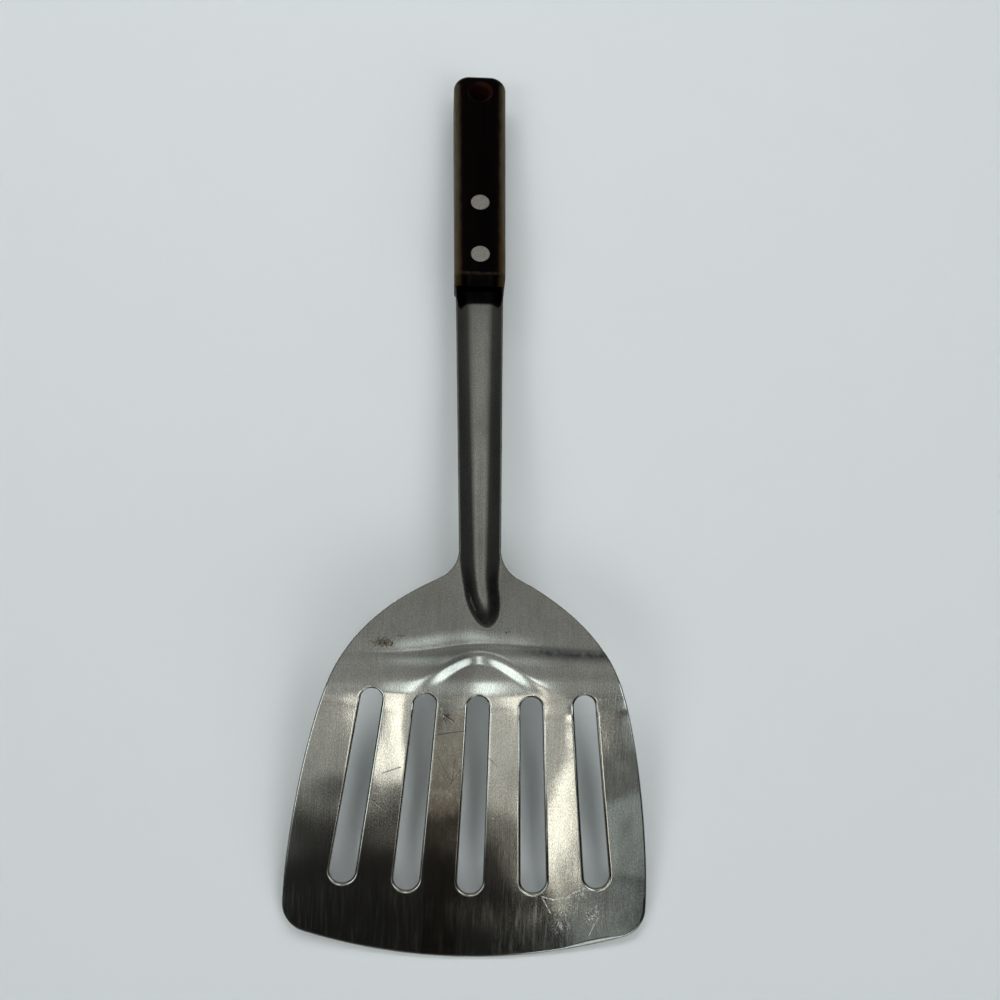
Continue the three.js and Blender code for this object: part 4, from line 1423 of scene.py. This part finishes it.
    def cut(self, piece, section, start, end):
        """Takes a prism out of a piece, given by its section and its two ends along the handle."""
        size = len(section)
        corners = [(x, y, z) for y in (start, end) for x, z in section]
        faces = [tuple(range(size)), tuple(range(2 * size - 1, size - 1, -1))]
        for number in range(size):
            after = (number + 1) % size
            faces.append((number, number + size, after + size, after))
        cutter = new_piece("cutter", np.array(corners), faces)
        cut = piece.modifiers.new("cut", "BOOLEAN")
        cut.operation = "DIFFERENCE"
        cut.solver = "EXACT"
        cut.object = cutter
        seen = bpy.context.evaluated_depsgraph_get()
        carved = bpy.data.meshes.new_from_object(piece.evaluated_get(seen))
        piece.modifiers.clear()
        whole = piece.data
        piece.data = carved
        bpy.data.meshes.remove(whole)
        bpy.data.objects.remove(cutter)


# Points round a rivet head's edge, and shares of its radius at which its crown has rings
HEAD_EDGE_POINTS = 6
CROWN_RINGS = (0.8, 0.6, 0.4, 0.2, 0)


class SPATULA_OT_rivets(bpy.types.Operator):
    """Makes the two rivets: sockets with tubes from above, studs with pins from below"""

    bl_idname = "spatula.rivets"
    bl_label = "Rivets"

    def execute(self, context):
        sheet = context.scene.spatula_sheet
        handle = context.scene.spatula_handle
        rivets = context.scene.spatula_rivets
        half = handle.thickness / 2
        front = handle_front(sheet)
        under = half - rivets.head_thickness
        head = rivets.head / 2
        edge = rivets.head_edge
        bore = rivets.pin / 2 + rivets.fit
        turns = np.linspace(0, pi / 2, HEAD_EDGE_POINTS)
        rounding = [(head - edge + edge * cos(t), half - edge + edge * sin(t)) for t in turns]
        crown = [
            (head * part, half + rivets.head_crown * (1 - (part * head / (head - edge)) ** 2))
            for part in CROWN_RINGS
        ]
        outside = [(head, under), *rounding, *crown]
        tube = rivets.tube / 2
        socket = [(0, under), (bore, under), (bore, rivets.fit - under), (tube, rivets.fit - under)]
        socket += [(tube, under), *outside]
        pin = rivets.pin / 2
        stud = [(0, -under + rivets.fit), (pin - edge, -under + rivets.fit)]
        stud += [(pin, -under + rivets.fit + edge), (pin, under), *outside]
        lying = lying_matrix(sheet, handle)
        finish = rivet_finish(rivets)
        for place, setback in zip(RIVET_PLACES, rivet_setbacks(rivets)):
            for half_name, profile, flip in (("socket", socket, 0), ("stud", stud, pi)):
                name = f"{place}_rivet_{half_name}"
                points, faces = turned(profile)
                piece = new_piece(f"{name}_metal", points, faces)
                piece.data.set_sharp_from_angle(angle=SHARP_METAL)
                stand = Matrix.Translation((0, front + setback, 0)) @ Matrix.Rotation(flip, 4, "X")
                settle(piece, lying @ stand, finish, name)
        return {"FINISHED"}


# The round table: its radius and corners, where its fading into the backdrop starts and ends, its
# faint clouds and its shine
TABLE_RADIUS = 4.0
TABLE_CORNERS = 96
TABLE_FADE = (0.4, 1.3)
TABLE_CLOUDS = ((30, 30, 30), 3.0, 0.5)
TABLE_DIMMING = 0.985
TABLE_ROUGHNESS = 0.85
TABLE_SHINE = 0.2

# The nearest that the camera sees
NEAREST = 10 * MM


class SPATULA_OT_stage(bpy.types.Operator):
    """Makes the table, the soft light and the camera"""

    bl_idname = "spatula.stage"
    bl_label = "Table, light and camera"

    def execute(self, context):
        stage = context.scene.spatula_stage
        self.table(stage)
        self.room(stage)
        for name, left, right, rear, front, radiance, tint, softness in PANES:
            pane(name, (left, right), (rear, front), radiance, tint, softness)
        for name, azimuth, elevation, distance, power in FILLS:
            soft_light(name, azimuth, elevation, distance, power * stage.fill)
        lens = bpy.data.cameras.new("camera")
        lens.angle = stage.camera_view
        lens.clip_start = NEAREST
        camera = bpy.data.objects.new("camera", lens)
        camera.location = stage.camera_place
        camera.rotation_euler = Euler(stage.camera_turn)
        bpy.context.collection.objects.link(camera)
        context.scene.camera = camera
        context.scene.view_settings.view_transform = "Standard"
        return {"FINISHED"}

    def table(self, stage):
        """A wide pale table top, which fades into the backdrop far away."""
        rim = arc((0, 0), TABLE_RADIUS, 0, 2 * pi, TABLE_CORNERS)[:-1]
        points = np.vstack((np.column_stack((rim, np.zeros(len(rim)))), (0, 0, 0)))
        middle = len(rim)
        faces = [(number, (number + 1) % middle, middle) for number in range(middle)]
        piece = new_piece("table", points, faces)
        finish = Finish("pale_table")
        places = finish.node("TexCoord", {}).outputs["Object"]
        dim = [part * TABLE_DIMMING for part in stage.table]
        base = finish.blend(finish.texture(places, *TABLE_CLOUDS), opaque(dim), opaque(stage.table))
        rays = finish.node("LightPath", {}).outputs
        plain = finish.largest(*(rays[f"Is {kind} Ray"] for kind in ("Camera", "Glossy", "Transmission")))
        far = finish.product(finish.ramp(finish.distance(places, 0, 0, 0), *TABLE_FADE), plain)
        surface = finish.surface(
            Base_Color=finish.times(base, finish.math("SUBTRACT", 1.0, far)),
            Roughness=TABLE_ROUGHNESS,
            Specular_IOR_Level=TABLE_SHINE,
            Emission_Color=opaque(stage.sky),
            Emission_Strength=far,
        )
        piece.data.materials.append(surface)
        piece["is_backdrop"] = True

    def room(self, stage):
        """What surrounds the table.

        Polished pieces mirror dim walls, a pale ceiling and a pale horizon, other pieces get a dim even
        light, and the camera sees a plain backdrop.
        """
        world = bpy.data.worlds.new("room")
        bpy.context.scene.world = world
        room = Nodes(world)
        right, rear, height = room.parts(room.node("TexCoord", {}).outputs["Generated"])
        aside = room.off(right, 0.0)
        behind = room.times(self.heights(room, height, BEHIND), room.ramp(aside, *BEHIND_SIDES))
        ahead = room.times(self.heights(room, height, AHEAD), room.ramp(aside, *AHEAD_SIDES))
        ahead = room.times(ahead, room.ramp(right, *AHEAD_RIGHT))
        walls = room.blend(room.ramp(rear, *WALL_CHANGE), behind, ahead)
        window = room.product(
            room.ramp(height, *sines(WINDOW_SILL)),
            room.ramp(height, *sines(WINDOW_HEAD), 1.0, 0.0),
            room.ramp(rear, *WINDOW_FRONT),
            WINDOW,
        )
        bright = room.total(window, room.ramp(height, *sines(HORIZON_EDGE), HORIZON, 0.0))
        light = room.mix("ADD", 1.0, walls, bright)
        rays = room.node("LightPath", {}).outputs
        mirrored = room.blend(rays["Is Glossy Ray"], opaque([AMBIENT] * 3), light)
        seen = room.blend(rays["Is Camera Ray"], mirrored, opaque(stage.sky))
        shader = room.node("Background", {"Color": seen, "Strength": 1.0})
        room.node("OutputWorld", {"Surface": shader.outputs[0]})

    def heights(self, room, height, stops):
        """Brightness of the room by elevation."""
        node = room.node("ValToRGB", {0: height})
        elements = node.color_ramp.elements
        while len(elements) < len(stops):
            elements.new(1.0)
        for element, (elevation, brightness) in zip(elements, stops):
            element.position = sin(radians(elevation))
            element.color = (brightness, brightness, brightness * ROOM_BLUE, 1.0)
        return node.outputs["Color"]


def sines(degrees):
    """Sines of angles in degrees."""
    return [sin(radians(part)) for part in degrees]


# Brightness of the room by elevation in degrees, behind the handle and past the blade's front edge
BEHIND = (
    (0, 0.09),
    (42, 0.08),
    (46, 0.15),
    (52, 0.26),
    (57, 0.35),
    (62, 0.28),
    (65, 0.26),
    (72, 0.28),
    (80, 0.31),
    (90, 0.33),
)
AHEAD = (
    (0, 0.06),
    (32, 0.05),
    (39, 0.018),
    (43, 0.014),
    (46.5, 0.03),
    (48.3, 0.15),
    (50, 0.26),
    (55, 0.33),
    (62, 0.4),
    (68, 0.42),
    (76, 0.36),
    (90, 0.33),
)
ROOM_BLUE = 0.97
WINDOW = 0.06
HORIZON = 0.5
AMBIENT = 0.04

# Elevations in degrees between which the low window and the bright horizon come and go
WINDOW_SILL = (12, 15)
WINDOW_HEAD = (32, 36)
HORIZON_EDGE = (3, 8)

# Changes of the room to the front and to the sides: where they start and end, and the levels there
WALL_CHANGE = (-0.3, -0.05, 1.0, 0.0)
WINDOW_FRONT = (-0.45, -0.3, 1.0, 0.0)
BEHIND_SIDES = (0.15, 0.9, 1.0, 0.4)
AHEAD_SIDES = (0.2, 0.35, 1.0, 0.15)
AHEAD_RIGHT = (0.09, 0.13, 1.0, 0.7)

# Large soft lights: azimuth and elevation in degrees, distance, and share of the light
FILLS = (
    ("right_light", 90.0, 68.0, 1.5, 0.2),
    ("right_front_light", 150.0, 48.0, 3.0, 0.25),
    ("left_front_light", 225.0, 46.0, 3.0, 0.25),
    ("left_rear_light", 320.0, 58.0, 1.2, 0.28),
    ("rear_light", 5.0, 52.0, 1.2, 0.32),
    ("low_right_light", 135.0, 28.0, 3.0, 0.12),
)
FILL_SPREAD = 0.4

# Tints of the window light
WARM = (1.0, 0.95, 0.85)
COOL = (0.9, 1.0, 1.0)

# Panes that the steel mirrors: their sides, as the sine of the angle to the right, their edges in
# degrees from the horizon behind the handle over the zenith, their radiance, their tint, and the share
# of their width and height over which they fade at each edge
PANES = (
    ("left_pane", -0.14, -0.085, 121.0, 131.2, 0.16, WARM, 0.0),
    ("left_middle_pane", -0.065, -0.02, 123.0, 129.4, 2.1, WARM, 0.0),
    ("left_middle_sill", -0.065, -0.02, 129.4, 131.6, 1.5, WARM, 0.0),
    ("middle_pane", -0.012, 0.085, 122.0, 133.2, 0.36, WARM, 0.0),
    ("right_middle_top", 0.09, 0.13, 127.0, 130.0, 0.15, WARM, 0.0),
    ("right_middle_pane", 0.092, 0.13, 130.0, 137.3, 2.3, WARM, 0.0),
    ("right_pane", 0.15, 0.21, 132.6, 137.0, 0.42, COOL, 0.0),
    ("low_right_pane", 0.11, 0.22, 136.5, 144.0, 0.3, COOL, 0.35),
    ("front_right_pane", 0.1, 0.36, 146.0, 162.0, 1.15, COOL, 0.0),
    ("approach_lamp", -0.065, 0.075, 72.0, 92.0, 0.6, COOL, 0.5),
    ("ceiling_lamp", -0.05, 0.07, 107.0, 122.0, 1.9, COOL, 0.3),
    ("right_ceiling_lamp", 0.16, 0.42, 107.0, 132.0, 2.4, COOL, 0.25),
    ("left_ceiling_lamp", -0.42, -0.15, 110.0, 138.0, 1.9, COOL, 0.25),
)
PANE_DISTANCE = 6.0


def hang_light(name, side, turn, distance):
    """A rectangular light that faces the origin.

    Its direction is given by the sine of its angle to the right, and by the angle from the horizon
    behind the handle over the zenith.
    """
    rest = sqrt(1 - side**2)
    direction = Vector((side, rest * cos(turn), rest * sin(turn)))
    across = Vector((rest, -side * cos(turn), -side * sin(turn)))
    light = bpy.data.lights.new(name, "AREA")
    light.shape = "RECTANGLE"
    lamp = bpy.data.objects.new(name, light)
    axes = Matrix((across, direction.cross(across), direction)).transposed()
    lamp.matrix_world = Matrix.Translation(direction * distance) @ axes.to_4x4()
    bpy.context.collection.objects.link(lamp)
    return lamp


def pane(name, sides, edges, radiance, tint, softness):
    """A bright window pane that only the polished pieces mirror, with soft or sharp edges."""
    side = sum(sides) / 2
    rest = sqrt(1 - side**2)
    lamp = hang_light(name, side, radians(sum(edges) / 2), PANE_DISTANCE)
    lamp.visible_diffuse = False
    light = lamp.data
    light.size = PANE_DISTANCE * (sides[1] - sides[0]) / rest
    light.size_y = PANE_DISTANCE * rest * radians(edges[1] - edges[0])
    light.energy = radiance * pi * light.size * light.size_y
    light.color = tint
    if softness:
        glass = Nodes(light)
        parts = glass.node("SeparateXYZ", {0: glass.node("NewGeometry", {}).outputs["Parametric"]})
        level = 1.0
        for place in (parts.outputs["X"], parts.outputs["Y"]):
            level = glass.product(level, glass.ramp(glass.off(place, 0.5), 0.5 - softness, 0.5, 1.0, 0.0))
        shader = glass.node("Emission", {"Strength": level})
        glass.node("OutputLight", {"Surface": shader.outputs[0]})


def soft_light(name, azimuth, elevation, distance, power):
    """A large soft light for everything that isn't polished, counted from +Y towards +X."""
    level = cos(radians(elevation))
    side = sin(radians(azimuth)) * level
    turn = atan2(sin(radians(elevation)), cos(radians(azimuth)) * level)
    lamp = hang_light(name, side, turn, distance)
    lamp.visible_glossy = False
    lamp.data.size = FILL_SPREAD * distance
    lamp.data.size_y = FILL_SPREAD * distance
    lamp.data.energy = power * distance**2


class SPATULA_PT_panel(bpy.types.Panel):
    """Lists the sizes and colours, and makes the pieces"""

    bl_label = "Slotted Spatula"
    bl_idname = "SPATULA_PT_panel"
    bl_space_type = "VIEW_3D"
    bl_region_type = "UI"
    bl_category = "Spatula"

    def draw(self, context):
        layout = self.layout
        for operator in OPERATORS:
            layout.operator(operator.bl_idname)
        for name, group in SETTINGS.items():
            box = layout.box()
            for field in group.__annotations__:
                box.prop(getattr(context.scene, name), field)


SETTINGS = {
    "spatula_sheet": SheetSettings,
    "spatula_handle": HandleSettings,
    "spatula_rivets": RivetSettings,
    "spatula_stage": StageSettings,
}
OPERATORS = (SPATULA_OT_sheet, SPATULA_OT_handle, SPATULA_OT_rivets, SPATULA_OT_stage)


def register():
    """Adds the settings, operators and panel."""
    for cls in (*SETTINGS.values(), *OPERATORS, SPATULA_PT_panel):
        bpy.utils.register_class(cls)
    for name, group in SETTINGS.items():
        setattr(bpy.types.Scene, name, PointerProperty(type=group))


def unregister():
    """Takes them out again."""
    for name in SETTINGS:
        delattr(bpy.types.Scene, name)
    for cls in reversed((*SETTINGS.values(), *OPERATORS, SPATULA_PT_panel)):
        bpy.utils.unregister_class(cls)


def main():
    register()
    bpy.ops.spatula.sheet()
    bpy.ops.spatula.handle()
    bpy.ops.spatula.rivets()
    bpy.ops.spatula.stage()
    boxes = {"cad": cad_box, "visual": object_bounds()}
    boxes = {name: [list(corner) for corner in box] for name, box in boxes.items()}


if __name__ == "__main__":
    main()
